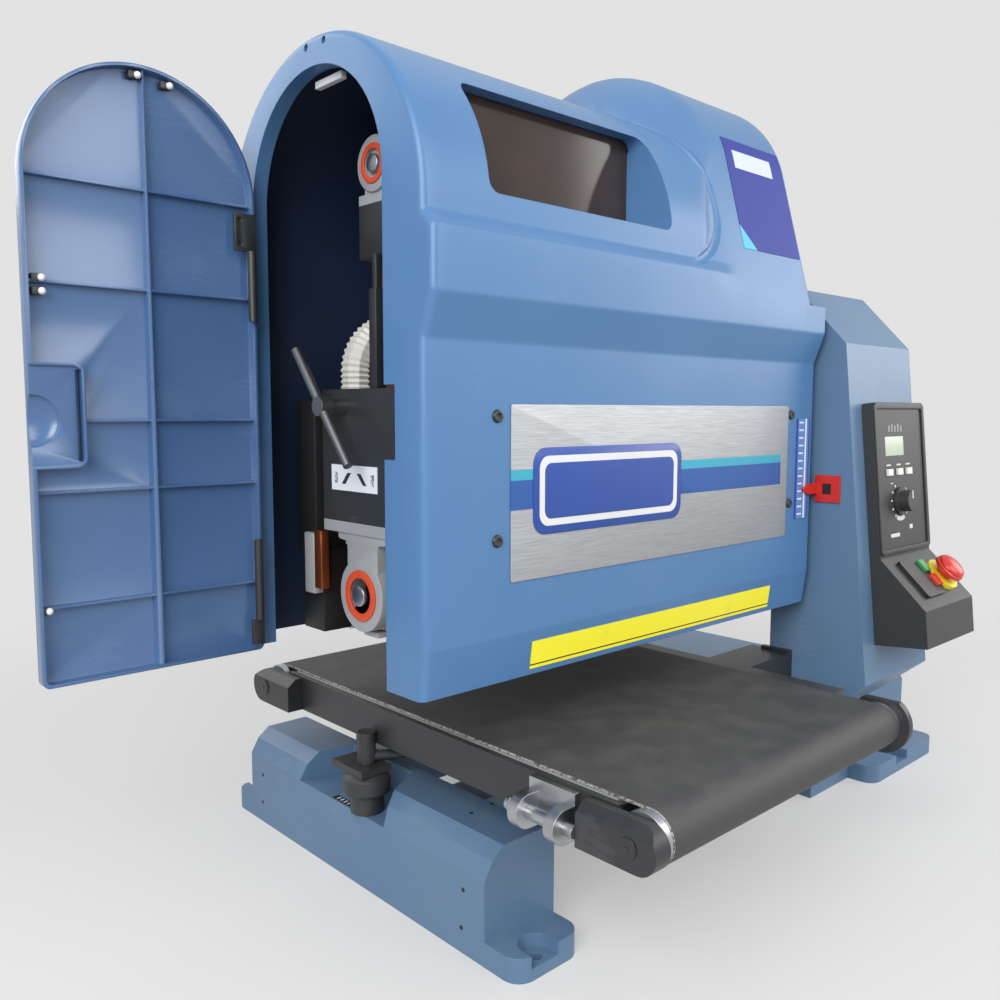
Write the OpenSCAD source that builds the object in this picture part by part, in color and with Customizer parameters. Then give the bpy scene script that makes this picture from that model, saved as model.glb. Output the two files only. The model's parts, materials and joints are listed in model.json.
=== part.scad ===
// Wide belt sander for a bench: an open-ended sanding head on one column over a
// powered feed bed, with the end door of the head swung open.
// Millimetres. X runs along the drums, Y from front to back, Z up from the bench.
// Every piece is drawn about the middle of the feed bed, and stand() then moves it
// so that the origin is the middle of the four foot holes, on the bench.

/* [Feed bed] */
// Width of the feed belt
belt_w = 412; // [392:2:412]
// Thickness of the feed belt
belt_t = 2; // [1.5:0.1:2.5]
// Height of the feed belt's top above the bench
bed_top = 205; // [203:1:206]
// Diameter of the two feed rollers
roller_d = 45.4; // [42:0.2:46]
// Front roller's axis, in front of the bed's middle
roller_front = -320; // [-330:1:-316]
// Rear roller's axis, behind the bed's middle
roller_rear = 277; // [270:1:285]
// Diameter of the roller shafts
roller_shaft_d = 16; // [12:1:18]
// Thickness of the side rails
rail_t = 7; // [5:0.5:8]
// Height of the side rails
rail_h = 42; // [38:1:44]

/* [Bases] */
// Height of the two cast bases
base_h = 115; // [110:1:118]
// Wall of the cast bases
base_wall = 8; // [6:0.5:10]
// Outer side of the left base
base_left_x0 = -239; // [-242:1:-238]
// Inner side of the left base
base_left_x1 = -143; // [-150:1:-140]
// Inner side of the right base, under the column
base_right_x0 = 354; // [346:1:354]
// Outer side of the right base
base_right_x1 = 666; // [656:1:680]
// Front face of both bases
base_y0 = -150; // [-152:1:-145]
// Rear face of both bases
base_y1 = 309; // [300:1:315]
// Thickness of the bolting lugs
lug_t = 25; // [20:1:28]
// Diameter of the four foot holes
foot_hole_d = 12; // [9:0.5:14]
// Left foot holes
foot_x0 = -203; // [-206:1:-200]
// Right foot holes
foot_x1 = 551; // [545:1:556]
// Front foot holes
foot_y0 = -184; // [-188:1:-182]
// Rear foot holes
foot_y1 = 343; // [338:1:346]

/* [Column] */
// Inner side of the column, towards the head
column_x0 = 354; // [352:1:355]
// Width of the column
column_w = 187; // [183:1:200]
// Plate of the column
column_wall = 5; // [4:0.5:6]
// Height of the column
column_top = 698; // [694:1:710]
// Lean of the column's front face
column_lean = 5.64; // [5.4:0.01:5.8]

/* [Head casing] */
// Left end of the head, at the door
head_x0 = -313; // [-316:1:-311]
// Right end of the head, at the column
head_x1 = 339; // [338.5:0.1:339.2]
// Sheet of the casing
casing_wall = 4; // [3:0.5:4.5]
// Bottom edge of the casing
casing_z0 = 277; // [276:0.5:279]
// Radius of the casing's arched top
arch_r = 172.4; // [171:0.2:174]
// Depth of the arch's axis behind the bed's middle
arch_y = 17; // [16:0.5:18]
// Height of the arch's axis
arch_z = 715; // [713:1:718]
// How far the front band stands proud
bulge = 14; // [8:1:16]
// Radius of the high dome over the motor
dome_r = 147; // [146:0.5:149]
// Height of the dome's axis
dome_z = 798; // [796:1:802]
// Right end of the dome
dome_x1 = 306; // [304:1:308]

/* [Door] */
// How far the door stands open in the rest pose
door_open = 90; // [80:1:100]
// Thickness of the door
door_t = 15; // [13:0.5:16]
// Radius of the door's arched top
door_r = 112; // [110:0.5:113]
// Gap between the door and the sides of its opening
door_gap = 3; // [2.5:0.5:4]
// Thickness of the door's skin
door_skin = 3; // [2:0.5:4]

/* [Sanding drums] */
// Radius of the rubber contact drum
drum_r = 66; // [65:0.5:66.5]
// Height of the contact drum's axis
drum_z = 341.5; // [341:0.5:344]
// Radius of the upper idler drum
idler_r = 49.5; // [47:0.5:50]
// Height of the idler drum's axis
idler_z = 783; // [781:1:785]
// Width of the abrasive belt
abrasive_w = 406; // [396:2:408]
// Thickness of the abrasive belt
abrasive_t = 1.2; // [0.8:0.1:1.5]
// Radius of the contact drum's shaft
drum_shaft_r = 12; // [10:0.5:13]
// Radius of the idler drum's shaft
idler_shaft_r = 10; // [8:0.5:11]

/* [Lift] */
// Radius of the two guide rods
guide_r = 12; // [10:0.5:13]
// Radius of the lead screw
screw_r = 10; // [8:0.5:11]
// Radius of the handwheel
wheel_r = 75; // [60:1:80]

/* [Hose] */
// Outer radius of the dust hose, over its ribs
hose_r = 18.5; // [16:0.5:20]
// Pitch of the ribs
hose_pitch = 6; // [5:0.5:8]

/* [Control box] */
// Left side of the control box
box_x0 = 386; // [380:1:388]
// Width of the control box
box_w = 152; // [152:1:160]
// Depth of the upper box
box_d = 15; // [13:0.5:18]
// Height of the box's top along the leaning face
box_top = 362; // [356:1:370]
// Radius of the speed knob
knob_r = 19; // [15:0.5:21]
// Radius of the emergency stop's cap
estop_r = 21; // [18:0.5:22]

/* [Hidden] */
$fn = 72;

// One overrun for every cut, one gap for seated parts and one for running fits
over = 1;
seat_gap = 0.3;
run_gap = 0.05;

// Colours
body_blue = "#3d6797";
deep_blue = "#345a86";
satin_black = "#26272a";
rubber_black = "#2e2f31";
bare_steel = "#b9bcc0";
cast_grey = "#8d9095";
drum_orange = "#e8742a";
hose_white = "#e4e3df";
signal_red = "#c8322c";

foot_mid_x = (foot_x0 + foot_x1) / 2;
foot_mid_y = (foot_y0 + foot_y1) / 2;

// Feed bed
roller_r = roller_d / 2;
belt_half = belt_w / 2;
belt_in_r = roller_r + seat_gap;
belt_out_r = belt_in_r + belt_t;
roller_z = bed_top - belt_out_r;
shaft_r = roller_shaft_d / 2;
ring_w = 9;
ring_r = roller_r + belt_t;
rail_x = belt_half + belt_t;
rail_out = rail_x + rail_t;
ring_gap = 3;
rail_z1 = bed_top - ring_gap;
rail_z0 = rail_z1 - rail_h;
rail_inset = 27;
rail_y0 = roller_front + rail_inset;
rail_y1 = roller_rear - rail_inset;
flange_w = 23;
flange_t = 3;
platen_t = 8;
platen_inset = 34;
cross_w = 40;
cross_z0 = rail_z0 + belt_t;
cap_w = 20;
cap_r = 20;
cap_chamfer = 9;
cap_back = 58;
end_plate_r = 34;
end_plate_t = 9;

// Bases
left_knee_drop = 29.4;
left_knee_z = base_h - left_knee_drop;
left_knee_dx = 10;
left_knee_dz = 17.4;
left_top_dx0 = 25;
left_top_dx1 = 15;
left_edge_r = 14;
lug_front = 13;
lug_corner = 20;
lug_side = 7;
recess_r = 18;
recess_z = 12;
scoop_y0 = 13;
scoop_y1 = 187;
scoop_in_x = 71;
scoop_slant = 41;
scoop_rear_slant = 12;
scoop_z = 84;
block_in = 107;
block_x0 = base_right_x0 + block_in;
block_edge = 10;
tie_z0 = 20;
tie_h = 60;
tie_w = 60;
tie_wall = 4;
tie_y = [0, 200];

// Column, its outline as depth and height
foot_pad_y0 = -165;
chest_y1 = -95;
column_chin_z = 175;
brow_z = 622;
brow_y = -192;
crown_y0 = -120;
column_y1 = 60;
hip_z = 345;
hip_in_z = 258;
face_z0 = 184;
face_y0 = brow_y - (brow_z - face_z0) * tan(column_lean);
chin_y = brow_y - (brow_z - column_chin_z) * tan(column_lean);
column_x1 = column_x0 + column_w;
shelf_t = 10;
shelf_low = 352;
shelf_drop = 34;
shelf_high = column_top - shelf_drop;
screw_y = -35;
guide_y0 = -90;
guide_y1 = 20;
lift_in = 46;
lift_x = column_x0 + lift_in;
slot_y0 = -58;
slot_y1 = -12;
slot_gap = 3;
slot_z0 = 365;
slot_z1 = 650;

// Lift
carriage_z0 = 440;
carriage_z1 = 600;
carriage_t = 8;
carriage_y0 = -115;
carriage_y1 = 45;
nut_half = 25;
gear_r = 18;
gear_t = 12;
gear_face = 6;
hand_drop = 30;
hand_z = shelf_low - hand_drop;
hand_shaft_r = 9;
hand_collar_r = 18;
hand_collar_w = 14;
screw_end_r = 6;
gear_gap = 2;
screw_z0 = hand_z + gear_r + gear_gap;
wheel_x = 45;
wheel_rim_r = 8;
wheel_hub_r = 17;
wheel_hub_w = 34;
spoke_r = 6;
grip_r = 11;
grip_h = 62;
grip_pin_r = 5;
bracket_x0 = 430;
bracket_w = 16;
bracket_half = 16;

// Pointer for the height scale
pointer_plate_t = 3.5;
pointer_y0 = -192;
pointer_w = 35;
pointer_z = 431;
pointer_h = 36;
pointer_tip = 40;
pointer_arm_t = 3;
pointer_arm_h = 14;
pointer_gap = 2;

// Control box, measured up the leaning face
box_v0 = 40;
box_edge = 8;
console_v1 = 154;
console_v0 = 88.7;
console_d = 70;
slope = atan2(console_d - box_d, console_v1 - console_v0);
slope_len = norm([console_d - box_d, console_v1 - console_v0]);
lens_x = 31;
lens_w = 55;
lens_v = 290;
lens_h = 26;
lens_t = 2;
knob_x = 66;
knob_v = 228;
knob_h = 18;
knob_skirt = 4;
knob_stem_r = 4;
knob_stem = 8;
button_v = 268;
button_w = 15;
button_h = 9;
button_proud = 3;
button_deep = 8;
button_travel = 2;
button_x = [37.6, 67.8, 96.2];
button_gap = 0.4;
switch_x0 = 29;
switch_w = 57;
switch_u0 = 10;
switch_len = 60;
switch_t = 5;
push_w = 14;
push_len = 18;
push_proud = 4;
push_deep = 9;
push_x = 78;
start_u = 26;
stop_u = 50;
estop_x = 114;
estop_u = 44;
estop_collar_r = 24;
estop_collar_t = 6;
estop_neck_r = 11;
estop_neck = 16;
estop_cap = 12;
estop_travel = 4;

// Head casing
head_y0 = arch_y - arch_r;
head_y1 = arch_y + arch_r;
band_h = 45.5;
band_z = casing_z0 + band_h;
band_in = 5.9;
slant_z0 = 596;
slant_z1 = 634;
ledge_z0 = 690;
ledge_z1 = 703;
split_z = 668;
flank_x0_front = 96;
flank_x1 = 118;
flank_x1_front = 150;
flange_t_end = 4;
opening_r = 118;
opening_z = 743;
opening_y0 = -98;
opening_squeeze = 5;
opening_y1 = opening_y0 + 2 * opening_r - opening_squeeze;
opening_y = (opening_y0 + opening_y1) / 2;
notch_y0 = -114;
notch_z0 = 490;
notch_z1 = 557;
rim_depth = 16;
rim_t = 3;
window_x0 = -237;
window_x1 = 29;
window_z0 = 727;
window_z1 = 833;
window_r = 12;
window_wall = 3;
flank_x0 = window_x1 + window_wall + over;
window_y = -90;
pane_t = 4;
port_r = 50;
port_wall = 3;
port_z = 460;
port_len = 51;
port_collar = 4;
port_collar_t = 3;

// Door
hinge_out = 5;
hinge_back = 2;
hinge_x = head_x0 - hinge_out;
hinge_y = opening_y1 + hinge_back;
door_y0 = opening_y0 + door_gap + door_gap;
door_y1 = opening_y1 - door_gap / 2;
door_y = (door_y0 + door_y1) / 2;
door_half = (door_y1 - door_y0) / 2;
door_lift = 2;
door_arch_z = opening_z + door_lift;
door_rim = 3;
door_rib_t = 2.5;
door_rib_d = 7;
door_rib_z = [351, 458, 524, 649, 743];
pocket_w = 47;
pocket_z0 = 480;
pocket_z1 = 566;
pocket_wall = 3;
pocket_deep = 13;
dent_r = 25;
catch_r = 5;
catch_t = 4;
catch_wall_y = [16, 47, -77, -77, -83];
catch_wall_z = [848, 845, 652, 640, 349];
hinge_r = 5;
pin_r = 3;
leaf_w = 24;
hinge_low_z = 286;
hinge_low_block = 30;
hinge_low_h = 111;
hinge_high_z = 625;
hinge_high_block = 40;
hinge_high_h = 116;

// Sanding mechanism
drum_y = arch_y;
abrasive_half = abrasive_w / 2;
drum_half = 205;
abrasive_low_r = drum_r + seat_gap;
abrasive_high_r = idler_r + seat_gap;
beam_x0 = -206;
beam_x1 = 262;
beam_y0 = -23;
beam_y1 = 57;
beam_z0 = 430;
beam_z1 = 550;
beam_wall = 6;
frame_t = 10;
frame_y0 = -60;
frame_y1 = 94;
frame_foot_z0 = 300;
frame_foot_z1 = 365;
frame_foot_y0 = -130;
frame_foot_y1 = 165;
frame_arch_z = 859;
spacer_r = 12;
spacer_y = [-52, 86];
spacer_z = [420, 620];
link_t = 12;
link_x0 = 323;
link_y0 = -70;
link_y1 = 104;
link_z0 = 380;
link_z1 = 660;
housing_x0 = -262;
housing_y0 = -43;
housing_y1 = 86;
housing_z1 = 556;
hanger_t = 12;
hanger_z = 405;
bearing_w = 20;
bearing_r = 38;
bearing_x0 = -232;
bearing_neck = 26;
bearing_ring_r = 25;
bearing_ring_t = 3;
right_bearing_w = 22;
handle_y = 43;
handle_z = 538;
handle_shaft_r = 8;
handle_x0 = -290;
handle_bar_r = 5;
handle_bar_half = 76;
handle_tilt = 51;
handle_hub_r = 10;
handle_deep = 24;
yoke_z0 = 690;
yoke_z1 = 725;
yoke_y0 = -13;
yoke_y1 = 47;
yoke_wall = 5;
yoke_end_x = 214;
yoke_end_w = 24;
yoke_end_z1 = 745;
yoke_rod_x = 110;
yoke_rod_r = 10;
yoke_rod_z0 = 510;
idler_house_r = 28;
idler_ring_r = 19;
motor_r = 46;
motor_x0 = 112;
motor_z = 886;
motor_fan_w = 34;
motor_fin_t = 3;
motor_fin_h = 5;
motor_fins = 9;
pulley_x0 = 276;
pulley_w = 20;
pulley_rim = 2;
motor_pulley_r = 22;
drum_pulley_r = 50;
motor_shaft_r = 9;
drive_belt_t = 4;
drive_inset = 2;

// Dust hood and hose
hood_half = 208;
hood_y0 = 104;
hood_z0 = 380;
hood_z1 = 540;
hood_wall = 2;
hose_x = -188;
hose_y = 130;
hose_bend = 52;
hose_valley = 2.6;
hose_shell = 5;
hose_bore_r = hose_r - hose_shell;
hose_sides = 8;
hose_box_half = 30;
hose_box_w = 46;

// Hold-down rollers before and behind the contact drum
shoe_y = [-112, 148];
shoe_rail_half = 14;
shoe_rail_z0 = 330;
shoe_rail_h = 22;
shoe_x0 = -215;
press_r = 12;
press_lift = 7;
press_z = casing_z0 + press_lift;
press_half = 190;
press_pin_r = 5;
arm_t = 9;
arm_half = 8;
shoe_x = press_half + arm_t / 2 + seat_gap;
shoe_cap = 5;
shoe_travel = 4;

// Feed drive and bed carriers
gearbox_len = 56;
gearbox_half = 34;
gear_motor_r = 32;
gear_motor_len = 42;
arm_y0 = -130;
arm_y1 = -66;
arm_drop = 2;
arm_z1 = bed_top - arm_drop;
level_x = -226;
level_y = 63;
level_stem_r = 19;
level_disc_r = 27;
level_disc_z0 = 106;
level_disc_z1 = 131;
level_stud_r = 6;
level_plate_t = 8;
level_plate_half = 22;
level_plate_y1 = 100;
lever_hub_r = 10.5;
lever_hub_h = 36;
lever_len = 70;
lever_turn = -28;
lever_r0 = 6.5;
lever_r1 = 4.5;
take_y0 = -250;
take_y1 = -193;
take_ear = 12;
take_plate = 7;
take_x = 19;
take_r = 16;
take_z = 173;
take_screw_r = 6;
take_screw_y0 = -262;
take_screw_y1 = -178;
take_head_r = 10;
take_head_w = 8;

module stand() {
    translate([-foot_mid_x, -foot_mid_y, 0]) children();
}

// A flat outline drawn as depth and height, pushed along X
module x_prism(x0, x1) {
    translate([x0, 0, 0]) rotate([90, 0, 90]) linear_extrude(x1 - x0) children();
}

// A flat outline drawn as width and height, pushed along Y
module y_prism(y0, y1) {
    translate([0, y1, 0]) rotate([90, 0, 0]) linear_extrude(y1 - y0) children();
}

module z_prism(z0, z1) {
    translate([0, 0, z0]) linear_extrude(z1 - z0) children();
}

module block(x0, x1, y0, y1, z0, z1) {
    translate([x0, y0, z0]) cube([x1 - x0, y1 - y0, z1 - z0]);
}

module rod_x(x0, x1, y, z, r) {
    translate([x0, y, z]) rotate([0, 90, 0]) cylinder(h = x1 - x0, r = r);
}

module rod_y(y0, y1, x, z, r) {
    translate([x, y0, z]) rotate([-90, 0, 0]) cylinder(h = y1 - y0, r = r);
}

module rod_z(z0, z1, x, y, r) {
    translate([x, y, z0]) cylinder(h = z1 - z0, r = r);
}

// A rectangle with true round corners
module round_rect(x0, x1, y0, y1, r) {
    translate([x0 + r, y0]) square([x1 - x0 - 2 * r, y1 - y0]);
    translate([x0, y0 + r]) square([x1 - x0, y1 - y0 - 2 * r]);
    for (x = [x0 + r, x1 - r], y = [y0 + r, y1 - r]) translate([x, y]) circle(r);
}

// The points of a belt's run round two wheels, from one tangent to the next
belt_steps = 36;
function belt_arc(y, z, r, a, b) = [for (i = [0 : belt_steps]) let (t = a + (b - a) * i / belt_steps)
    [y + r * cos(t), z + r * sin(t)]];

module belt_outline(y0, z0, r0, y1, z1, r1) {
    along = atan2(z1 - z0, y1 - y0);
    side = acos((r0 - r1) / norm([y1 - y0, z1 - z0]));
    polygon(concat(belt_arc(y0, z0, r0, along + side, along + 360 - side),
        belt_arc(y1, z1, r1, along - side, along + side)));
}

// Bases

function left_base_outline(w, z0) = [[base_left_x0 + w, z0], [base_left_x1 - w, z0],
    [base_left_x1 - w, base_h - left_edge_r - w], [base_left_x1 - left_edge_r - w, base_h - w],
    [base_left_x0 + left_top_dx0 + w, base_h - w],
    [base_left_x0 + left_knee_dx + w, left_knee_z + left_knee_dz - w], [base_left_x0 + w, left_knee_z]];

module knob_scoop(w) {
    x1 = base_left_x0 + scoop_in_x + w;
    z_prism(scoop_z - w, base_h + over) polygon([[base_left_x0 - over, scoop_y0 - w],
        [x1, scoop_y0 + scoop_slant - w], [x1, scoop_y1 - scoop_rear_slant + w],
        [base_left_x0 - over, scoop_y1 + w]]);
}

module lug(x0, x1, y0, y1) {
    z_prism(0, lug_t) round_rect(x0, x1, y0, y1, lug_corner);
}

// A foot hole with its spot face, open to the front or the back
module foot_hole(x, y, way) {
    rod_z(-over, lug_t + over, x, y, foot_hole_d / 2);
    rod_z(recess_z, lug_t + over, x, y, recess_r);
    block(x - recess_r, x + recess_r, min(y, y + way * 2 * recess_r), max(y, y + way * 2 * recess_r),
        recess_z, lug_t + over);
}

module base_left() color(body_blue) stand() difference() {
    union() {
        y_prism(base_y0, base_y1) polygon(left_base_outline(0, 0));
        lug(base_left_x0, base_left_x1 - lug_side, foot_y0 - lug_front, base_y0 + 2 * lug_corner);
        lug(base_left_x0, base_left_x1 - lug_side, base_y1 - 2 * lug_corner, foot_y1 + lug_front);
    }
    difference() {
        y_prism(base_y0 + base_wall, base_y1 - base_wall) polygon(left_base_outline(base_wall, -over));
        knob_scoop(base_wall);
    }
    knob_scoop(0);
    foot_hole(foot_x0, foot_y0, -1);
    foot_hole(foot_x0, foot_y1, 1);
    rod_z(scoop_z - base_wall - over, scoop_z + over, level_x, level_y, level_stud_r + run_gap);
}

function right_base_outline(x0, x1, w, z0) = [[x0 + w, z0], [x1 - w, z0],
    [x1 - w, base_h - block_edge - w], [x1 - block_edge - w, base_h - w],
    [x0 + block_edge + w, base_h - w], [x0 + w, base_h - block_edge - w]];

module base_right() color(body_blue) stand() difference() {
    union() {
        y_prism(base_y0, base_y1) polygon(right_base_outline(block_x0, base_right_x1, 0, 0));
        block(base_right_x0, block_x0 + 2 * block_edge, foot_pad_y0, base_y1, 0, base_h);
        lug(block_x0, base_right_x1, foot_y0 - lug_front - lug_side, base_y0 + 2 * lug_corner);
        lug(block_x0, base_right_x1, base_y1 - 2 * lug_corner, foot_y1 + lug_front + lug_side);
    }
    y_prism(base_y0 + base_wall, base_y1 - base_wall)
        polygon(right_base_outline(block_x0, base_right_x1, base_wall, -over));
    block(base_right_x0 + base_wall, block_x0 + base_wall + block_edge, foot_pad_y0 + base_wall,
        base_y1 - base_wall, -over, base_h - base_wall);
    foot_hole(foot_x1, foot_y0, -1);
    foot_hole(foot_x1, foot_y1, 1);
}

module base_tie_bars() color(deep_blue) stand() for (y = tie_y) difference() {
    block(base_left_x1, base_right_x0, y, y + tie_w, tie_z0, tie_z0 + tie_h);
    block(base_left_x1 - over, base_right_x0 + over, y + tie_wall, y + tie_w - tie_wall,
        tie_z0 + tie_wall, tie_z0 + tie_h - tie_wall);
}

// Column

function column_outline(w) = [[foot_pad_y0 + w, base_h + w], [chin_y + w, column_chin_z + w],
    [brow_y + w, brow_z - w / 2], [crown_y0 + w / 2, column_top - w], [column_y1 - w, column_top - w],
    [column_y1 - w, hip_z + w], [chest_y1 - w, hip_in_z + w], [chest_y1 - w, base_h + w]];

module column() color(body_blue) stand() difference() {
    x_prism(column_x0, column_x1) polygon(column_outline(0));
    difference() {
        x_prism(column_x0 + column_wall, column_x1 - column_wall) polygon(column_outline(column_wall));
        block(column_x0, column_x1, brow_y, column_y1, shelf_low, shelf_low + shelf_t);
        block(column_x0, column_x1, brow_y, column_y1, shelf_high, shelf_high + shelf_t);
        rod_x(column_x1 - 2 * hand_collar_w, column_x1, screw_y, hand_z, hand_collar_r);
    }
    block(column_x0 - over, column_x0 + column_wall + over, slot_y0 - slot_gap, slot_y1 + slot_gap,
        slot_z0, slot_z1);
    rod_z(shelf_low - over, shelf_low + shelf_t + over, lift_x, screw_y, screw_r + run_gap);
    rod_z(shelf_high - over, shelf_high + shelf_t + over, lift_x, screw_y, screw_end_r + run_gap);
    rod_x(column_x1 - 3 * hand_collar_w, column_x1 + over, screw_y, hand_z, hand_shaft_r + run_gap);
}

module lift_bearing_bracket() color(cast_grey) stand() difference() {
    block(bracket_x0, bracket_x0 + bracket_w, screw_y - bracket_half, screw_y + bracket_half,
        hand_z - hand_shaft_r - spoke_r / 2, shelf_low);
    rod_x(bracket_x0 - over, bracket_x0 + bracket_w + over, screw_y, hand_z, hand_shaft_r + run_gap);
}

module guide_rods() color(bare_steel) stand() for (y = [guide_y0, guide_y1])
    rod_z(shelf_low + shelf_t, shelf_high, lift_x, y, guide_r);

module lead_screw() color(bare_steel) stand() {
    rod_z(screw_z0, shelf_high - seat_gap, lift_x, screw_y, screw_r);
    rod_z(shelf_high - over, shelf_high + shelf_t, lift_x, screw_y, screw_end_r);
    translate([lift_x, screw_y, screw_z0 - gear_face])
        cylinder(h = gear_t, r1 = gear_r - gear_face, r2 = gear_r);
}

module handwheel() color(satin_black) stand() {
    hub_x = column_x1 + wheel_x;
    rod_x(lift_x + gear_r + gear_gap, hub_x + wheel_hub_w / 2, screw_y, hand_z, hand_shaft_r);
    translate([lift_x + gear_r - gear_face, screw_y, hand_z]) rotate([0, 90, 0])
        cylinder(h = gear_t, r1 = gear_r - gear_face, r2 = gear_r);
    rod_x(column_x1 + seat_gap, column_x1 + hand_collar_w, screw_y, hand_z, hand_collar_r);
    rod_x(hub_x - wheel_hub_w / 2, hub_x + wheel_hub_w / 2, screw_y, hand_z, wheel_hub_r);
    translate([hub_x, screw_y, hand_z]) rotate([0, 90, 0]) {
        rotate_extrude() translate([wheel_r - wheel_rim_r, 0]) circle(wheel_rim_r, $fn = 24);
        for (a = [0, 120, 240]) rotate([0, 0, a]) rotate([0, 90, 0]) cylinder(h = wheel_r - wheel_rim_r, r = spoke_r);
    }
    rod_x(hub_x, hub_x + grip_h, screw_y, hand_z + wheel_r - wheel_rim_r, grip_pin_r);
}

module handwheel_grip() color(satin_black) stand()
    translate([column_x1 + wheel_x + wheel_rim_r + seat_gap, screw_y, hand_z + wheel_r - wheel_rim_r])
        rotate([0, 90, 0]) rotate_extrude() polygon([[grip_pin_r + run_gap, 0], [grip_r - grip_pin_r / 2, 0],
            [grip_r, grip_h / 4], [grip_r - grip_pin_r / 3, grip_h * 2 / 3],
            [grip_pin_r + run_gap, grip_h * 2 / 3]]);

module lift_carriage() color(cast_grey) stand() difference() {
    union() {
        block(head_x1, head_x1 + carriage_t, carriage_y0, carriage_y1, carriage_z0, carriage_z1);
        block(head_x1, lift_x, slot_y0, slot_y1, carriage_z0, carriage_z1);
        block(lift_x - nut_half, lift_x + nut_half, carriage_y0, carriage_y1, carriage_z0, carriage_z1);
    }
    for (y = [guide_y0, guide_y1]) rod_z(carriage_z0 - over, carriage_z1 + over, lift_x, y, guide_r + run_gap);
    rod_z(carriage_z0 - over, carriage_z1 + over, lift_x, screw_y, screw_r + run_gap);
}

module height_pointer() color(signal_red) stand() {
    arm_y1 = head_y0 - pointer_gap;
    block(column_x0 - pointer_plate_t, column_x0, pointer_y0, pointer_y0 + pointer_w,
        pointer_z - pointer_h / 2, pointer_z + pointer_h / 2);
    y_prism(arm_y1 - pointer_arm_t, arm_y1) polygon([[column_x0, pointer_z - pointer_arm_h / 2],
        [column_x0, pointer_z + pointer_arm_h / 2], [column_x0 - pointer_tip + pointer_arm_h,
        pointer_z + pointer_arm_h / 2], [column_x0 - pointer_tip, pointer_z],
        [column_x0 - pointer_tip + pointer_arm_h, pointer_z - pointer_arm_h / 2]]);
}

// Control box. On the face, X is across, minus Y out of the face and Z up the face.

module on_face() {
    translate([box_x0, face_y0, face_z0]) rotate([-column_lean, 0, 0]) children();
}

// On the console's slope, minus Y is down the slope and Z out of it
module on_slope() {
    on_face() translate([0, -box_d, console_v1]) rotate([90 - slope, 0, 0]) children();
}

module estop_seat(r) {
    translate([estop_x, -estop_u, -estop_neck]) cylinder(h = estop_neck + over, r = r);
}

module push_seat(u) {
    block(push_x - push_w / 2 - button_gap, push_x + push_w / 2 + button_gap, -u - push_len / 2 - button_gap,
        -u + push_len / 2 + button_gap, -push_deep - button_travel, push_proud + switch_t);
}

module control_box() color(satin_black) stand() difference() {
    on_face() union() {
        y_prism(-box_d, 0) round_rect(0, box_w, console_v0, box_top, box_edge);
        x_prism(0, box_w) polygon([[0, box_v0], [-console_d, box_v0], [-console_d, console_v0],
            [-box_d, console_v1], [0, console_v1]]);
    }
    on_face() {
        block(lens_x, lens_x + lens_w, -box_d - over, -box_d + lens_t, lens_v, lens_v + lens_h);
        for (x = button_x) block(x - button_w / 2 - button_gap, x + button_w / 2 + button_gap, -box_d - over,
            -box_d + button_deep + button_travel, button_v - button_h / 2 - button_gap,
            button_v + button_h / 2 + button_gap);
        rod_y(-box_d - over, -box_d + knob_stem + seat_gap, knob_x, knob_v, knob_stem_r + run_gap);
    }
    on_slope() {
        push_seat(start_u);
        push_seat(stop_u);
        estop_seat(estop_neck_r + run_gap);
    }
}

module display_lens() color("#2b3a33") stand() on_face()
    block(lens_x, lens_x + lens_w, -box_d, -box_d + lens_t, lens_v, lens_v + lens_h);

module speed_knob() color(satin_black) stand() on_face() {
    rod_y(-box_d - seat_gap - knob_skirt, -box_d - seat_gap, knob_x, knob_v, knob_r);
    rod_y(-box_d - knob_h, -box_d - knob_skirt, knob_x, knob_v, knob_r * 3 / 4);
    rod_y(-box_d - knob_skirt, -box_d + knob_stem, knob_x, knob_v, knob_stem_r);
}

module panel_button(x) {
    color("white") stand() on_face() block(x - button_w / 2, x + button_w / 2, -box_d - button_proud,
        -box_d + button_deep, button_v - button_h / 2, button_v + button_h / 2);
}

module panel_button_left() panel_button(button_x[0]);

module panel_button_middle() panel_button(button_x[1]);

module panel_button_right() panel_button(button_x[2]);

module switch_plate() color("#d8b62c") stand() on_slope() difference() {
    union() {
        z_prism(0, switch_t) round_rect(switch_x0, switch_x0 + switch_w, -switch_u0 - switch_len, -switch_u0, switch_t);
        translate([estop_x, -estop_u, 0]) cylinder(h = estop_collar_t, r = estop_collar_r);
    }
    push_seat(start_u);
    push_seat(stop_u);
    translate([estop_x, -estop_u, -over]) cylinder(h = estop_collar_t + 2 * over, r = estop_neck_r + run_gap);
}

module push_button(u) {
    block(push_x - push_w / 2, push_x + push_w / 2, -u - push_len / 2, -u + push_len / 2, -push_deep,
        switch_t + push_proud);
}

module start_button() color("#2f9a4c") stand() on_slope() push_button(start_u);

module stop_button() color(signal_red) stand() on_slope() push_button(stop_u);

module emergency_stop() color(signal_red) stand() on_slope() translate([estop_x, -estop_u, 0]) {
    translate([0, 0, -estop_neck + estop_travel]) cylinder(h = 2 * estop_neck, r = estop_neck_r);
    translate([0, 0, estop_collar_t + estop_travel + over]) rotate_extrude() polygon([[0, 0],
        [estop_r * 3 / 4, 0], [estop_r, estop_cap / 3], [estop_r, estop_cap * 2 / 3], [estop_r * 3 / 4, estop_cap],
        [0, estop_cap + button_travel]]);
}

// Feed bed

module bed_loop(r) {
    belt_outline(roller_front, roller_z, r, roller_rear, roller_z, r);
}

module feed_belt() color(rubber_black) stand() x_prism(-belt_half, belt_half) difference() {
    bed_loop(belt_out_r);
    bed_loop(belt_in_r);
}

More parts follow.
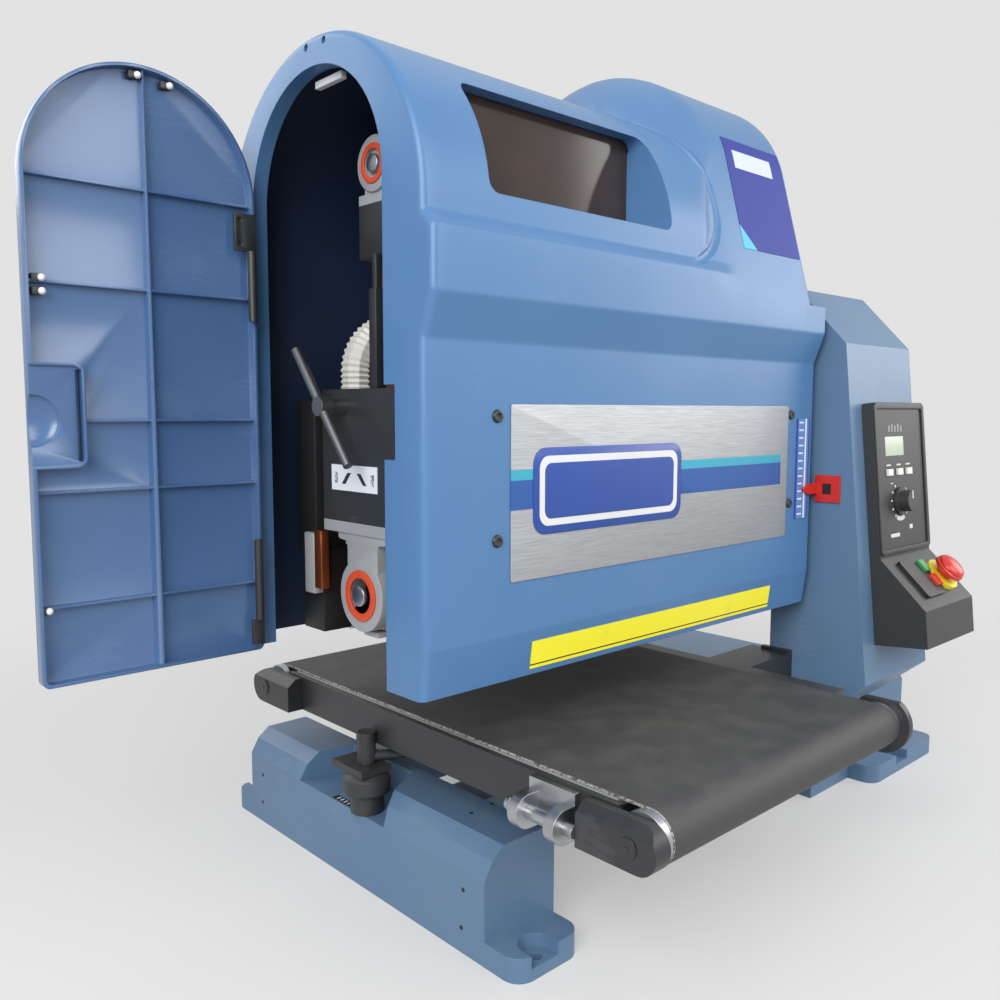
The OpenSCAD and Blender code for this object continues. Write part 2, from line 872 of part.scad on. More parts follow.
module feed_platen() color(cast_grey) stand() {
    z1 = bed_top - belt_t - seat_gap;
    block(-rail_x, rail_x, roller_front + platen_inset, roller_rear - platen_inset, z1 - platen_t, z1);
    for (y = [rail_y0 + cross_w, (rail_y0 + rail_y1 - cross_w) / 2, rail_y1 - 2 * cross_w])
        block(-rail_x, rail_x, y, y + cross_w, cross_z0, z1 - platen_t);
}

// Two side rails, the right one with a flange along its top
module bed_rails() color(satin_black) stand() {
    block(-rail_out, -rail_x, rail_y0, rail_y1, rail_z0, rail_z1);
    block(rail_x, rail_out, rail_y0, rail_y1, rail_z0, rail_z1);
    block(rail_x, rail_out + flange_w, rail_y0 + rail_inset, rail_y1, rail_z1 - flange_t, rail_z1);
}

// End cap of a roller on the left rail, rounded at its outer end
module left_cap(axis_y, way) {
    far = axis_y + way * (cap_r + 3 * ring_gap);
    near = axis_y - way * cap_back;
    difference() {
        intersection() {
            x_prism(-rail_out - cap_w, -rail_out) union() {
                translate([far - way * cap_r, roller_z]) circle(cap_r);
                translate([min(near, far - way * cap_r), roller_z - cap_r])
                    square([abs(far - near) - cap_r, 2 * cap_r]);
            }
            y_prism(min(near, far) - over, max(near, far) + over) polygon([[-rail_out, rail_z0 - cap_r],
                [-rail_out - cap_w, rail_z0 - cap_r], [-rail_out - cap_w, roller_z + cap_r - cap_chamfer],
                [-rail_out - cap_chamfer, roller_z + cap_r], [-rail_out, roller_z + cap_r]]);
        }
        rod_x(-rail_out - cap_w - over, -rail_out + over, axis_y, roller_z, shaft_r + run_gap);
    }
}

// Round end plate of a roller on the right rail, cut level just above the belt
module right_cap(axis_y) {
    difference() {
        rod_x(rail_out, rail_out + end_plate_t, axis_y, roller_z, end_plate_r);
        rod_x(rail_out - over, rail_out + end_plate_t + over, axis_y, roller_z, shaft_r + run_gap);
        block(rail_out - over, rail_out + end_plate_t + over, axis_y - end_plate_r - over,
            axis_y + end_plate_r + over, bed_top + belt_t, bed_top + end_plate_r);
    }
}

module roller_caps() color(satin_black) stand() {
    left_cap(roller_front, -1);
    left_cap(roller_rear, 1);
    right_cap(roller_front);
    right_cap(roller_rear);
}

module feed_roller(y, right_end) {
    color(bare_steel) stand() {
        rod_x(-belt_half, belt_half, y, roller_z, roller_r);
        rod_x(-rail_out - cap_w, right_end, y, roller_z, shaft_r);
        for (s = [-1, 1]) rod_x(s * belt_half + min(s, 0) * (ring_w - 2 * seat_gap), s * belt_half
            + max(s, 0) * (ring_w - 2 * seat_gap), y, roller_z, ring_r);
    }
}

module front_roller() feed_roller(roller_front, rail_out + end_plate_t);

module rear_roller() feed_roller(roller_rear, rail_out + end_plate_t + gearbox_len / 2);

module feed_gearmotor() color(cast_grey) stand() {
    x0 = rail_out + end_plate_t;
    difference() {
        block(x0, x0 + gearbox_len, roller_rear - gearbox_half, roller_rear + gearbox_half,
            roller_z - gearbox_half, roller_z + gearbox_half / 2);
        rod_x(x0 - over, x0 + gearbox_len / 2 + seat_gap, roller_rear, roller_z, shaft_r + run_gap);
    }
    rod_x(x0 + gearbox_len, x0 + gearbox_len + gear_motor_len, roller_rear, roller_z - cap_r / 2, gear_motor_r - cap_r / 4);
}

// Arm that carries the bed from the column
module bed_bracket() color(satin_black) stand() {
    block(rail_out, column_x0, arm_y0, arm_y1, rail_z0, rail_z1 - flange_t);
    block(column_x0 - platen_t, column_x0, arm_y0, arm_y1 - cross_w / 2, rail_z0 - platen_t, arm_z1);
}

module level_bracket() color(satin_black) stand() difference() {
    union() {
        block(level_x - level_plate_half, -rail_x, level_y - level_plate_half, level_plate_y1,
            level_disc_z1 + seat_gap, level_disc_z1 + level_plate_t);
        block(-rail_out, -rail_x, level_plate_y1 - level_plate_half, level_plate_y1, level_disc_z1 + seat_gap, rail_z0);
    }
    rod_z(level_disc_z1, level_disc_z1 + 2 * level_plate_t, level_x, level_y, level_stud_r + run_gap);
}

module level_knob() color(satin_black) stand() {
    translate([level_x, level_y, 0]) rotate_extrude() polygon([[0, scoop_z + seat_gap],
        [level_stem_r, scoop_z + seat_gap], [level_stem_r, level_disc_z0],
        [level_disc_r - level_stud_r / 2, level_disc_z0], [level_disc_r, level_disc_z0 + level_stud_r / 2],
        [level_disc_r, level_disc_z1 - level_stud_r], [level_disc_r - level_stud_r, level_disc_z1],
        [level_stud_r, level_disc_z1], [level_stud_r, level_disc_z1 + level_plate_t + lever_hub_h / 2],
        [0, level_disc_z1 + level_plate_t + lever_hub_h / 2]]);
    rod_z(scoop_z - base_wall, scoop_z + over, level_x, level_y, level_stud_r);
}

module level_lock_lever() color(satin_black) stand() translate([level_x, level_y, level_disc_z1 + level_plate_t + seat_gap]) {
    difference() {
        union() {
            cylinder(h = lever_hub_h, r = lever_hub_r);
            rotate([0, 0, lever_turn]) hull() {
                translate([lever_hub_r - lever_r0 / 2, 0, lever_r0 + over]) sphere(lever_r0, $fn = 32);
                translate([lever_len, 0, lever_r1 + over]) sphere(lever_r1, $fn = 32);
            }
        }
        translate([0, 0, -over]) cylinder(h = lever_hub_h * 2 / 3, r = level_stud_r + run_gap);
    }
}

module take_up_bracket() color(bare_steel) stand() difference() {
    union() {
        block(-rail_out - take_plate, -rail_out, take_y0, take_y1, take_z - take_r, rail_z1 - belt_t);
        for (y = [take_y0, take_y1 - take_ear]) {
            rod_y(y, y + take_ear, -rail_out - take_x, take_z, take_r);
            block(-rail_out - take_x, -rail_out, y, y + take_ear, take_z - take_r, take_z + take_r);
        }
    }
    rod_y(take_y0 - over, take_y1 + over, -rail_out - take_x, take_z, take_screw_r + run_gap);
}

module take_up_screw() color(bare_steel) stand() {
    rod_y(take_screw_y0 + seat_gap, take_screw_y1, -rail_out - take_x, take_z, take_screw_r);
    translate([-rail_out - take_x, take_y1 + seat_gap, take_z]) rotate([-90, 0, 0])
        cylinder(h = take_head_w, r = take_head_r, $fn = 6);
}

// Head casing, its outlines as depth and height

module casing_outline(w, z0) {
    difference() {
        union() {
            translate([arch_y, arch_z]) circle(arch_r - w);
            polygon([[head_y0 + band_in + w, casing_z0], [head_y1 - w, casing_z0], [head_y1 - w, arch_z],
                [head_y0 + w, arch_z], [head_y0 + w, ledge_z1 - w / 2], [head_y0 - bulge + w, ledge_z0 - w / 2],
                [head_y0 - bulge + w, slant_z1 + w / 2], [head_y0 + w, slant_z0 + w / 2], [head_y0 + w, band_z]]);
            translate([head_y0 + band_in + w, z0]) square([head_y1 - head_y0 - band_in - 2 * w, band_z - z0]);
        }
    }
}

module opening_outline(g) {
    translate([opening_y, opening_z]) circle((opening_y1 - opening_y0) / 2 - g);
    translate([opening_y0 + g, casing_z0 - over]) square([opening_y1 - opening_y0 - 2 * g, opening_z - casing_z0 + over]);
}

module window_outline(g) {
    round_rect(window_x0 - g, window_x1 + g, window_z0 - g, window_z1 + g, window_r + g);
}

// Everything of the casing's sweep that the dome takes over
module dome_space() {
    block(flank_x0, head_x1 + over, head_y0 - 2 * bulge, head_y1 + over, split_z, arch_z + 2 * arch_r);
}

module head_casing() color(body_blue) stand() difference() {
    union() {
        difference() {
            x_prism(head_x0, head_x1) casing_outline(0, casing_z0);
            x_prism(head_x0 + flange_t_end, head_x1 - casing_wall) casing_outline(casing_wall, casing_z0 - over);
            dome_space();
        }
        // Shelf that closes the casing beside the dome
        block(dome_x1, head_x1, head_y0, head_y1, split_z - casing_wall, split_z);
        // Rim inside the door opening
        x_prism(head_x0, head_x0 + rim_depth) difference() {
            intersection() {
                opening_outline(-rim_t);
                translate([head_y0, casing_z0]) square([head_y1 - head_y0, 2 * arch_z]);
            }
            opening_outline(0);
        }
        // Walls of the window recess, down to the pane
        intersection() {
            y_prism(head_y0 - over, window_y + pane_t) difference() {
                window_outline(window_wall);
                window_outline(0);
            }
            x_prism(head_x0, head_x1) casing_outline(0, casing_z0);
        }
    }
    x_prism(head_x0 - over, head_x0 + flange_t_end + over) opening_outline(0);
    block(head_x0 - over, head_x0 + rim_depth + over, notch_y0, opening_y0 + over, notch_z0, notch_z1);
    y_prism(head_y0 - bulge - over, window_y) window_outline(0);
    rod_y(head_y1 - casing_wall - over, head_y1 + over, 0, port_z, port_r + port_collar + run_gap);
    // Where the dome stands open to the casing below
    block(flank_x0 + casing_wall, dome_x1 - casing_wall, head_y0, head_y1 - casing_wall, split_z - casing_wall - over,
        split_z + over);
}

module window_pane() color("#1c2026") stand() y_prism(window_y, window_y + pane_t) window_outline(0);

// The dome over the motor: cross-sections that grow from the arch into the high
// dome along the flank, each a row of points from the front foot to the rear foot.
dome_steps = 22;
arc_steps = 22;
front_foot = [head_y0 - bulge, split_z];
rear_foot = [head_y1, split_z];

// Angle on the dome's circle where the tangent from a foot lands
function tangent_angle(p, way) = let (d = p - [arch_y, dome_z])
    atan2(d[1], d[0]) - way * acos(dome_r / norm(d));
front_angle = tangent_angle(front_foot, 1) + 360;
rear_angle = tangent_angle(rear_foot, -1);

function mix(a, b, t) = a + (b - a) * t;
function smooth(t) = t * t * (3 - 2 * t);
function clamp01(t) = max(0, min(1, t));

function arch_row(w) = concat([[front_foot[0] + w, split_z], [front_foot[0] + w, ledge_z0 - w / 2],
    [head_y0 + w, ledge_z1 - w / 2]],
    [for (i = [0 : arc_steps]) let (a = mix(180, 0, i / arc_steps))
        [arch_y + (arch_r - w) * cos(a), arch_z + (arch_r - w) * sin(a)]],
    [[rear_foot[0] - w, split_z]]);

function dome_row(w) = let (q = [arch_y + (dome_r - w) * cos(front_angle), dome_z + (dome_r - w) * sin(front_angle)],
    p = [front_foot[0] + w, split_z]) concat([p, mix(p, q, (ledge_z0 - split_z) / (q[1] - split_z)),
    mix(p, q, (ledge_z1 - split_z) / (q[1] - split_z))],
    [for (i = [0 : arc_steps]) let (a = mix(front_angle, rear_angle, i / arc_steps))
        [arch_y + (dome_r - w) * cos(a), dome_z + (dome_r - w) * sin(a)]],
    [[rear_foot[0] - w, split_z]]);

// How far a point of the row has turned from arch to dome at x
function turn_share(x, i) = let (front = clamp01((arc_steps / 2 + 2 - i) / (arc_steps / 2)),
    a = mix(flank_x0, flank_x0_front, smooth(front)), b = mix(flank_x1, flank_x1_front, smooth(front)))
    smooth(clamp01((x - a) / (b - a)));

function dome_section(x, w) = let (a = arch_row(w), d = dome_row(w))
    [for (i = [0 : len(a) - 1]) let (p = mix(a[i], d[i], turn_share(x, i))) [x, p[0], p[1]]];

dome_stations = concat([for (i = [0 : dome_steps]) mix(flank_x0, flank_x1_front, i / dome_steps)], [dome_x1]);

// A closed skin over the rows of points, capped at both ends
module skin(rows) {
    m = len(rows[0]);
    n = len(rows);
    sides = [for (j = [0 : n - 2], i = [0 : m - 1]) let (k = (i + 1) % m)
        each [[j * m + i, (j + 1) * m + k, (j + 1) * m + i], [j * m + i, j * m + k, (j + 1) * m + k]]];
    caps = [[for (i = [m - 1 : -1 : 0]) i], [for (i = [0 : m - 1]) (n - 1) * m + i]];
    polyhedron(points = [for (r = rows) each r], faces = concat(sides, caps));
}

// The room inside is open to the arch on its left and to the casing below, so its
// rows overrun there, and it stops a wall short of the dome's right end.
module motor_dome() color(body_blue) stand() difference() {
    skin([for (x = dome_stations) dome_section(x, 0)]);
    skin([for (x = dome_stations) [for (p = dome_section(min(x, dome_x1 - casing_wall), casing_wall))
        [x == flank_x0 ? x - over : p[0], p[1], p[2] == split_z ? p[2] - over : p[2]]]]);
}

// Door. It is drawn shut and then swung out about its hinge line.

module swing_door() {
    translate([hinge_x, hinge_y, 0]) rotate([0, 0, -door_open]) translate([-hinge_x, -hinge_y, 0]) children();
}

module door_outline(w) {
    translate([door_y, door_arch_z]) circle(door_half - w);
    translate([door_y0 + w, casing_z0 + w]) square([2 * (door_half - w), door_arch_z - casing_z0 - w]);
}

module door_panel() color(deep_blue) stand() swing_door() {
    skin_x = head_x0 + door_skin;
    difference() {
        union() {
            difference() {
                x_prism(head_x0, head_x0 + door_t) door_outline(0);
                x_prism(skin_x, head_x0 + door_t + over) door_outline(door_rim);
            }
            intersection() {
                x_prism(head_x0, head_x0 + door_t) door_outline(0);
                union() {
                    block(skin_x, skin_x + door_rib_d, door_y - door_rib_t / 2, door_y + door_rib_t / 2,
                        casing_z0, door_arch_z + door_half);
                    for (z = door_rib_z) block(skin_x, skin_x + door_rib_d, door_y0, door_y1, z - door_rib_t / 2,
                        z + door_rib_t / 2);
                }
            }
            block(head_x0, head_x0 + pocket_deep + pocket_wall, door_y0, door_y0 + pocket_w + pocket_wall,
                pocket_z0 - pocket_wall, pocket_z1 + pocket_wall);
            for (i = [0 : len(catch_wall_y) - 1])
                rod_x(head_x0 + door_skin, head_x0 + door_t + catch_t, catch_wall_y[i], catch_wall_z[i], catch_r);
        }
        block(head_x0 - over, head_x0 + pocket_deep, door_y0 + pocket_wall, door_y0 + pocket_w, pocket_z0, pocket_z1);
    }
}

module casing_hinge(z0, h, plate) {
    block(hinge_x - hinge_r, head_x0, opening_y1 - seat_gap, hinge_y + leaf_w - hinge_r, z0 + h - plate, z0 + h);
    rod_z(z0, z0 + h, hinge_x, hinge_y, pin_r);
}

module casing_hinges() color(satin_black) stand() {
    casing_hinge(hinge_low_z, hinge_low_h, hinge_low_block);
    casing_hinge(hinge_high_z, hinge_high_h, hinge_high_block);
}

module door_hinge(z0, h) {
    difference() {
        union() {
            rod_z(z0, z0 + h, hinge_x, hinge_y, hinge_r);
            block(hinge_x - hinge_r / 2, head_x0, hinge_y - leaf_w, hinge_y, z0, z0 + h);
        }
        rod_z(z0 - over, z0 + h + over, hinge_x, hinge_y, pin_r + run_gap);
    }
}

module door_hinges() color(satin_black) stand() swing_door() {
    door_hinge(hinge_low_z, hinge_low_h - hinge_low_block - seat_gap);
    door_hinge(hinge_high_z, hinge_high_h - hinge_high_block - seat_gap);
}

// Sanding mechanism

module head_beam() color(satin_black) stand() difference() {
    block(beam_x0, beam_x1, beam_y0, beam_y1, beam_z0, beam_z1);
    block(beam_x0 - over, beam_x1 + over, beam_y0 + beam_wall, beam_y1 - beam_wall, beam_z0 + beam_wall,
        beam_z1 - beam_wall);
    for (x = [-yoke_rod_x, yoke_rod_x]) rod_z(beam_z1 - beam_wall - over, beam_z1 + over, x, drum_y, yoke_rod_r + run_gap);
}

module head_frame() color(satin_black) stand() {
    difference() {
        x_prism(beam_x1, beam_x1 + frame_t) union() {
            translate([frame_foot_y0, frame_foot_z0])
                square([frame_foot_y1 - frame_foot_y0, frame_foot_z1 - frame_foot_z0]);
            translate([frame_y0, frame_foot_z0]) square([frame_y1 - frame_y0, frame_arch_z - frame_foot_z0]);
            translate([(frame_y0 + frame_y1) / 2, frame_arch_z]) circle((frame_y1 - frame_y0) / 2);
        }
        rod_x(beam_x1 - over, beam_x1 + frame_t + over, drum_y, drum_z, drum_shaft_r + over);
        rod_x(beam_x1 - over, beam_x1 + frame_t + over, drum_y, motor_z, motor_shaft_r + over);
    }
    for (y = spacer_y, z = spacer_z) rod_x(beam_x1 + frame_t, link_x0, y, z, spacer_r);
    block(link_x0, head_x1 - casing_wall, link_y0, link_y1, link_z0, link_z1);
    for (y = shoe_y) difference() {
        block(shoe_x0, beam_x1, y - shoe_rail_half, y + shoe_rail_half, shoe_rail_z0, shoe_rail_z0 + shoe_rail_h);
        for (x = [-shoe_x, shoe_x]) block(x - arm_t / 2 - seat_gap, x + arm_t / 2 + seat_gap,
            y - arm_half - seat_gap, y + arm_half + seat_gap, shoe_rail_z0 - over, shoe_rail_z0 + shoe_rail_h + over);
    }
}

module tension_housing() color(satin_black) stand() difference() {
    block(housing_x0, beam_x0, housing_y0, housing_y1, hanger_z + hanger_t, housing_z1);
    rod_x(housing_x0 - over, housing_x0 + handle_deep + seat_gap, handle_y, handle_z, handle_shaft_r + run_gap);
}

module tension_handle() color(bare_steel) stand() {
    rod_x(handle_x0, housing_x0 + handle_deep, handle_y, handle_z, handle_shaft_r);
    rod_x(handle_x0 - handle_bar_r, handle_x0 + handle_bar_r * 2, handle_y, handle_z, handle_hub_r);
    translate([handle_x0, handle_y, handle_z]) rotate([handle_tilt - 90, 0, 0])
        translate([0, 0, -handle_bar_half]) cylinder(h = 2 * handle_bar_half, r = handle_bar_r);
}

module idler_yoke() color(satin_black) stand() {
    difference() {
        block(-yoke_end_x, yoke_end_x, yoke_y0, yoke_y1, yoke_z0, yoke_z1);
        block(-yoke_end_x - over, yoke_end_x + over, yoke_y0 + yoke_wall, yoke_y1 - yoke_wall,
            yoke_z0 + yoke_wall, yoke_z1 - yoke_wall);
    }
    for (s = [-1, 1]) {
        x = s * (yoke_end_x + yoke_end_w / 2);
        block(x - yoke_end_w / 2, x + yoke_end_w / 2, yoke_y0, yoke_y1, yoke_z0, yoke_end_z1);
        rod_z(yoke_rod_z0, yoke_z0 + yoke_wall, s * yoke_rod_x, drum_y, yoke_rod_r);
    }
}

module idler_bearings() color(cast_grey) stand() for (s = [-1, 1]) {
    x = s * (yoke_end_x + yoke_end_w / 2);
    difference() {
        x_prism(x - yoke_end_w / 2, x + yoke_end_w / 2) union() {
            translate([drum_y, idler_z]) circle(idler_house_r);
            translate([yoke_y0, yoke_end_z1]) square([yoke_y1 - yoke_y0, yoke_wall * 2]);
            translate([drum_y - idler_ring_r, yoke_end_z1]) square([2 * idler_ring_r, idler_z - yoke_end_z1]);
        }
        rod_x(x - yoke_end_w, x + yoke_end_w, drum_y, idler_z, idler_shaft_r + run_gap);
    }
}

module idler_drum() color(drum_orange) stand() {
    rod_x(-drum_half, drum_half, drum_y, idler_z, idler_r);
    rod_x(-yoke_end_x - yoke_end_w, yoke_end_x + yoke_end_w, drum_y, idler_z, idler_shaft_r);
}

module contact_drum() color(drum_orange) stand() {
    rod_x(-drum_half, drum_half, drum_y, drum_z, drum_r);
    rod_x(bearing_x0 - bearing_ring_t, pulley_x0 + pulley_w, drum_y, drum_z, drum_shaft_r);
    rod_x(pulley_x0, pulley_x0 + pulley_w, drum_y, drum_z, drum_pulley_r);
}

module drum_bearings() color(cast_grey) stand() {
    difference() {
        union() {
            block(housing_x0, beam_x0, housing_y0, housing_y1, hanger_z, hanger_z + hanger_t);
            rod_x(bearing_x0, bearing_x0 + bearing_w, drum_y, drum_z, bearing_r);
            block(bearing_x0, bearing_x0 + bearing_w, drum_y - bearing_neck, drum_y + bearing_neck, drum_z, hanger_z);
            rod_x(bearing_x0 - bearing_ring_t, bearing_x0, drum_y, drum_z, bearing_ring_r);
        }
        rod_x(housing_x0, beam_x0, drum_y, drum_z, drum_shaft_r + run_gap);
    }
    difference() {
        rod_x(beam_x1 - right_bearing_w, beam_x1, drum_y, drum_z, bearing_r);
        rod_x(beam_x1 - right_bearing_w - over, beam_x1 + over, drum_y, drum_z, drum_shaft_r + run_gap);
    }
}

module abrasive_belt() color("#a5673a") stand() x_prism(-abrasive_half, abrasive_half) difference() {
    belt_outline(drum_y, drum_z, abrasive_low_r + abrasive_t, drum_y, idler_z, abrasive_high_r + abrasive_t);
    belt_outline(drum_y, drum_z, abrasive_low_r, drum_y, idler_z, abrasive_high_r);
}

module drive_motor() color(cast_grey) stand() difference() {
    union() {
        rod_x(motor_x0, beam_x1, drum_y, motor_z, motor_r - motor_fin_h);
        rod_x(motor_x0, motor_x0 + motor_fan_w, drum_y, motor_z, motor_r);
        for (i = [0 : motor_fins - 1]) let (x = motor_x0 + motor_fan_w + (i + 1) * (beam_x1 - motor_x0 - motor_fan_w)
            / (motor_fins + 1)) rod_x(x, x + motor_fin_t, drum_y, motor_z, motor_r);
    }
    rod_x(beam_x1 - motor_fan_w, beam_x1 + over, drum_y, motor_z, motor_shaft_r + run_gap);
}

module motor_pulley() color(bare_steel) stand() {
    rod_x(pulley_x0, pulley_x0 + pulley_w, drum_y, motor_z, motor_pulley_r);
    rod_x(beam_x1 - motor_fan_w / 2, pulley_x0 + over, drum_y, motor_z, motor_shaft_r);
}

module drive_belt() color(rubber_black) stand()
    x_prism(pulley_x0 + drive_inset, pulley_x0 + pulley_w - drive_inset) difference() {
        belt_outline(drum_y, drum_z, drum_pulley_r + seat_gap + drive_belt_t, drum_y, motor_z,
            motor_pulley_r + seat_gap + drive_belt_t);
        belt_outline(drum_y, drum_z, drum_pulley_r + seat_gap, drum_y, motor_z, motor_pulley_r + seat_gap);
    }

// Hold-down rollers: each runs in two sprung shoes that slide up through a fixed rail

module pressure_shoes(y) {
    top = shoe_rail_z0 + shoe_rail_h;
    color(cast_grey) stand() for (x = [-shoe_x, shoe_x]) difference() {
        union() {
            block(x - arm_t / 2, x + arm_t / 2, y - arm_half, y + arm_half, press_z - arm_half, top + shoe_travel);
            block(x - arm_t, x + arm_t, y - arm_half - shoe_cap, y + arm_half + shoe_cap, top + seat_gap,
                top + seat_gap + shoe_cap);
        }
        rod_x(x - arm_t, x + arm_t, y, press_z, press_pin_r + run_gap);
    }
}

module pressure_shoes_front() pressure_shoes(shoe_y[0]);

module pressure_shoes_rear() pressure_shoes(shoe_y[1]);

module pressure_roller(y) {
    color(bare_steel) stand() {
        rod_x(-press_half, press_half, y, press_z, press_r);
        rod_x(-press_half - arm_t, press_half + arm_t, y, press_z, press_pin_r);
    }
}

module pressure_roller_front() pressure_roller(shoe_y[0]);

module pressure_roller_rear() pressure_roller(shoe_y[1]);

// Dust hood behind the belt, with its outlet through the casing

module dust_hood() color(satin_black) stand() {
    y1 = head_y1 - casing_wall;
    difference() {
        block(-hood_half, hood_half, hood_y0, y1, hood_z0, hood_z1);
        block(-hood_half + hood_wall, hood_half - hood_wall, hood_y0 + hood_wall, y1 - hood_wall,
            hood_z0 - over, hood_z1 - hood_wall);
        rod_y(y1 - hood_wall - over, y1 + over, 0, port_z, port_r - port_wall);
        rod_z(hood_z1 - hood_wall - over, hood_z1 + over, hose_x, hose_y, hose_bore_r);
    }
    difference() {
        union() {
            rod_y(y1, head_y1 + port_len, 0, port_z, port_r);
            rod_y(y1, head_y1 + port_collar_t, 0, port_z, port_r + port_collar);
        }
        rod_y(y1 - over, head_y1 + port_len + over, 0, port_z, port_r - port_wall);
    }
}

// The hose's centre line: straight up, a quarter bend to the right, straight along
hose_straight = 2 * hose_r;
hose_arc = hose_bend * PI / 2;
hose_len = 2 * hose_straight + hose_arc;
hose_ribs = floor(hose_len / hose_pitch);
hose_z = hood_z1 + hose_straight;
function hose_turn(s) = clamp01((s - hose_straight) / hose_arc) * 90;
function hose_point(s) = let (t = hose_turn(s), up = min(s, hose_straight), along = max(0, s - hose_straight - hose_arc))
    [hose_x + hose_bend * (1 - cos(t)) + along, hose_y, hood_z1 + up + hose_bend * sin(t)];

// A ring of points square to the hose at distance s
function hose_ring(s, r) = let (t = hose_turn(s), p = hose_point(s)) [for (i = [0 : hose_sides - 1])
    let (a = 360 * (i + 1 / 2) / hose_sides)
    p + r * [cos(a) * cos(t), sin(a), -cos(a) * sin(t)]];

hose_outer = concat([hose_ring(0, hose_r - hose_valley)], [for (k = [0 : hose_ribs - 1])
    each [hose_ring((k + 1 / 4) * hose_len / hose_ribs, hose_r),
        hose_ring((k + 3 / 4) * hose_len / hose_ribs, hose_r - hose_valley)]],
    [hose_ring(hose_len, hose_r - hose_valley)]);
hose_inner = [for (k = [0 : hose_ribs]) hose_ring(k * hose_len / hose_ribs, hose_bore_r)];
echo("least gap across the hose's bend", hose_bend - 2 * hose_r + hose_r);

// A ring of walls between the rows, with its ends joined to the bore's rows
module tube_skin(outer, inner) {
    m = len(outer[0]);
    n = len(outer);
    k = len(inner);
    base = n * m;
    walls = [for (j = [0 : n - 2], i = [0 : m - 1]) let (q = (i + 1) % m)
        each [[j * m + i, (j + 1) * m + q, (j + 1) * m + i], [j * m + i, j * m + q, (j + 1) * m + q]]];
    bore = [for (j = [0 : k - 2], i = [0 : m - 1]) let (q = (i + 1) % m)
        each [[base + j * m + i, base + (j + 1) * m + i, base + (j + 1) * m + q],
            [base + j * m + i, base + (j + 1) * m + q, base + j * m + q]]];
    first = [for (i = [0 : m - 1]) let (q = (i + 1) % m) each [[i, base + i, base + q], [i, base + q, q]]];
    last = [for (i = [0 : m - 1]) let (q = (i + 1) % m, o = (n - 1) * m, b = base + (k - 1) * m)
        each [[o + i, b + q, b + i], [o + i, o + q, b + q]]];
    polyhedron(points = concat([for (r = outer) each r], [for (r = inner) each r]),
        faces = concat(walls, bore, first, last));
}

module dust_hose() color(hose_white) stand() tube_skin(hose_outer, hose_inner);

module hose_box() color(satin_black) stand() {
    x0 = hose_x + hose_bend + hose_straight;
    z = hose_z + hose_bend;
    difference() {
        block(x0, x0 + hose_box_w, hose_y - hose_box_half, head_y1 - casing_wall, z - hose_box_half, z + hose_box_half);
        rod_x(x0 - over, x0 + hose_box_w / 2, hose_y, z, hose_bore_r);
    }
}

base_left();
base_right();
base_tie_bars();
column();
control_box();
feed_platen();
bed_rails();
roller_caps();
bed_bracket();
level_bracket();
take_up_bracket();
take_up_screw();
feed_belt();
front_roller();
rear_roller();
feed_gearmotor();
level_knob();
level_lock_lever();
lift_bearing_bracket();
guide_rods();
lead_screw();
handwheel();
handwheel_grip();
height_pointer();
display_lens();
speed_knob();
panel_button_left();
panel_button_middle();
panel_button_right();
switch_plate();
start_button();
stop_button();
emergency_stop();
head_casing();
motor_dome();
window_pane();
casing_hinges();
door_panel();
door_hinges();
head_beam();
head_frame();
lift_carriage();
tension_housing();
tension_handle();
idler_yoke();
idler_bearings();
idler_drum();
contact_drum();
drum_bearings();
abrasive_belt();
drive_motor();
motor_pulley();
drive_belt();
dust_hood();
dust_hose();
hose_box();
pressure_shoes_front();
pressure_shoes_rear();
pressure_roller_front();
pressure_roller_rear();
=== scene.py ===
import bmesh
import bpy
import json
import math
from mathutils import Matrix, Vector


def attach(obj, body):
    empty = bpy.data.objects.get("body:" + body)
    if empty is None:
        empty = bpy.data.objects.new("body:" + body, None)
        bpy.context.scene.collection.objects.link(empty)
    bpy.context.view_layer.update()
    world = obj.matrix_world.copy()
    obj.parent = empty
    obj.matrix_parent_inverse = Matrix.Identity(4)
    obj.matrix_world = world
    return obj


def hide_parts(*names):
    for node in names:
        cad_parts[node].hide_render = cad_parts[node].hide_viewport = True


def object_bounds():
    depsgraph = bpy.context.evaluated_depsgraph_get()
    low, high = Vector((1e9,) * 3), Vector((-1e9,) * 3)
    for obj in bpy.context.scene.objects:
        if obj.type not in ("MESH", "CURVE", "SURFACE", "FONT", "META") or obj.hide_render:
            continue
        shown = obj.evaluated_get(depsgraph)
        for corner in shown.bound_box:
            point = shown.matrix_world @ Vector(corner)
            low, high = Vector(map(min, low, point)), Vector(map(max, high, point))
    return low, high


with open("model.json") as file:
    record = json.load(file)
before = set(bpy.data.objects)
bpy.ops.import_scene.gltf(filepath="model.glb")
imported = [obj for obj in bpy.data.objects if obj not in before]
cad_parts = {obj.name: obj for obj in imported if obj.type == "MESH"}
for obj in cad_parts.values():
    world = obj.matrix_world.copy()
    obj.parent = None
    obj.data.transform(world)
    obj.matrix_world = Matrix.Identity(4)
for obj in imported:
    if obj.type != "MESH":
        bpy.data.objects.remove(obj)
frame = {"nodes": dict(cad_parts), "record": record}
cadBox = [list(corner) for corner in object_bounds()]
nodes = frame["nodes"]

# The drawing's millimetres, moved to the frame's origin in the middle of the four foot holes
origin = {"x": 174.0, "y": 79.5}
unit = 0.001


def at(x, y, z):
    return Vector(((x - origin["x"]) * unit, (y - origin["y"]) * unit, z * unit))


# Camera, by the photograph: place, and directions of right, up and ahead
view = {"x": -800.98, "y": -777.8, "z": 535.03, "lens": 33.278, "sensor": 36.0, "near": 0.05,
        "right": (0.73377514, -0.67938929, 0.00205935), "up": (0.06460703, 0.07279568, 0.99525209),
        "ahead": (0.67631352, 0.73015819, -0.09730899)}


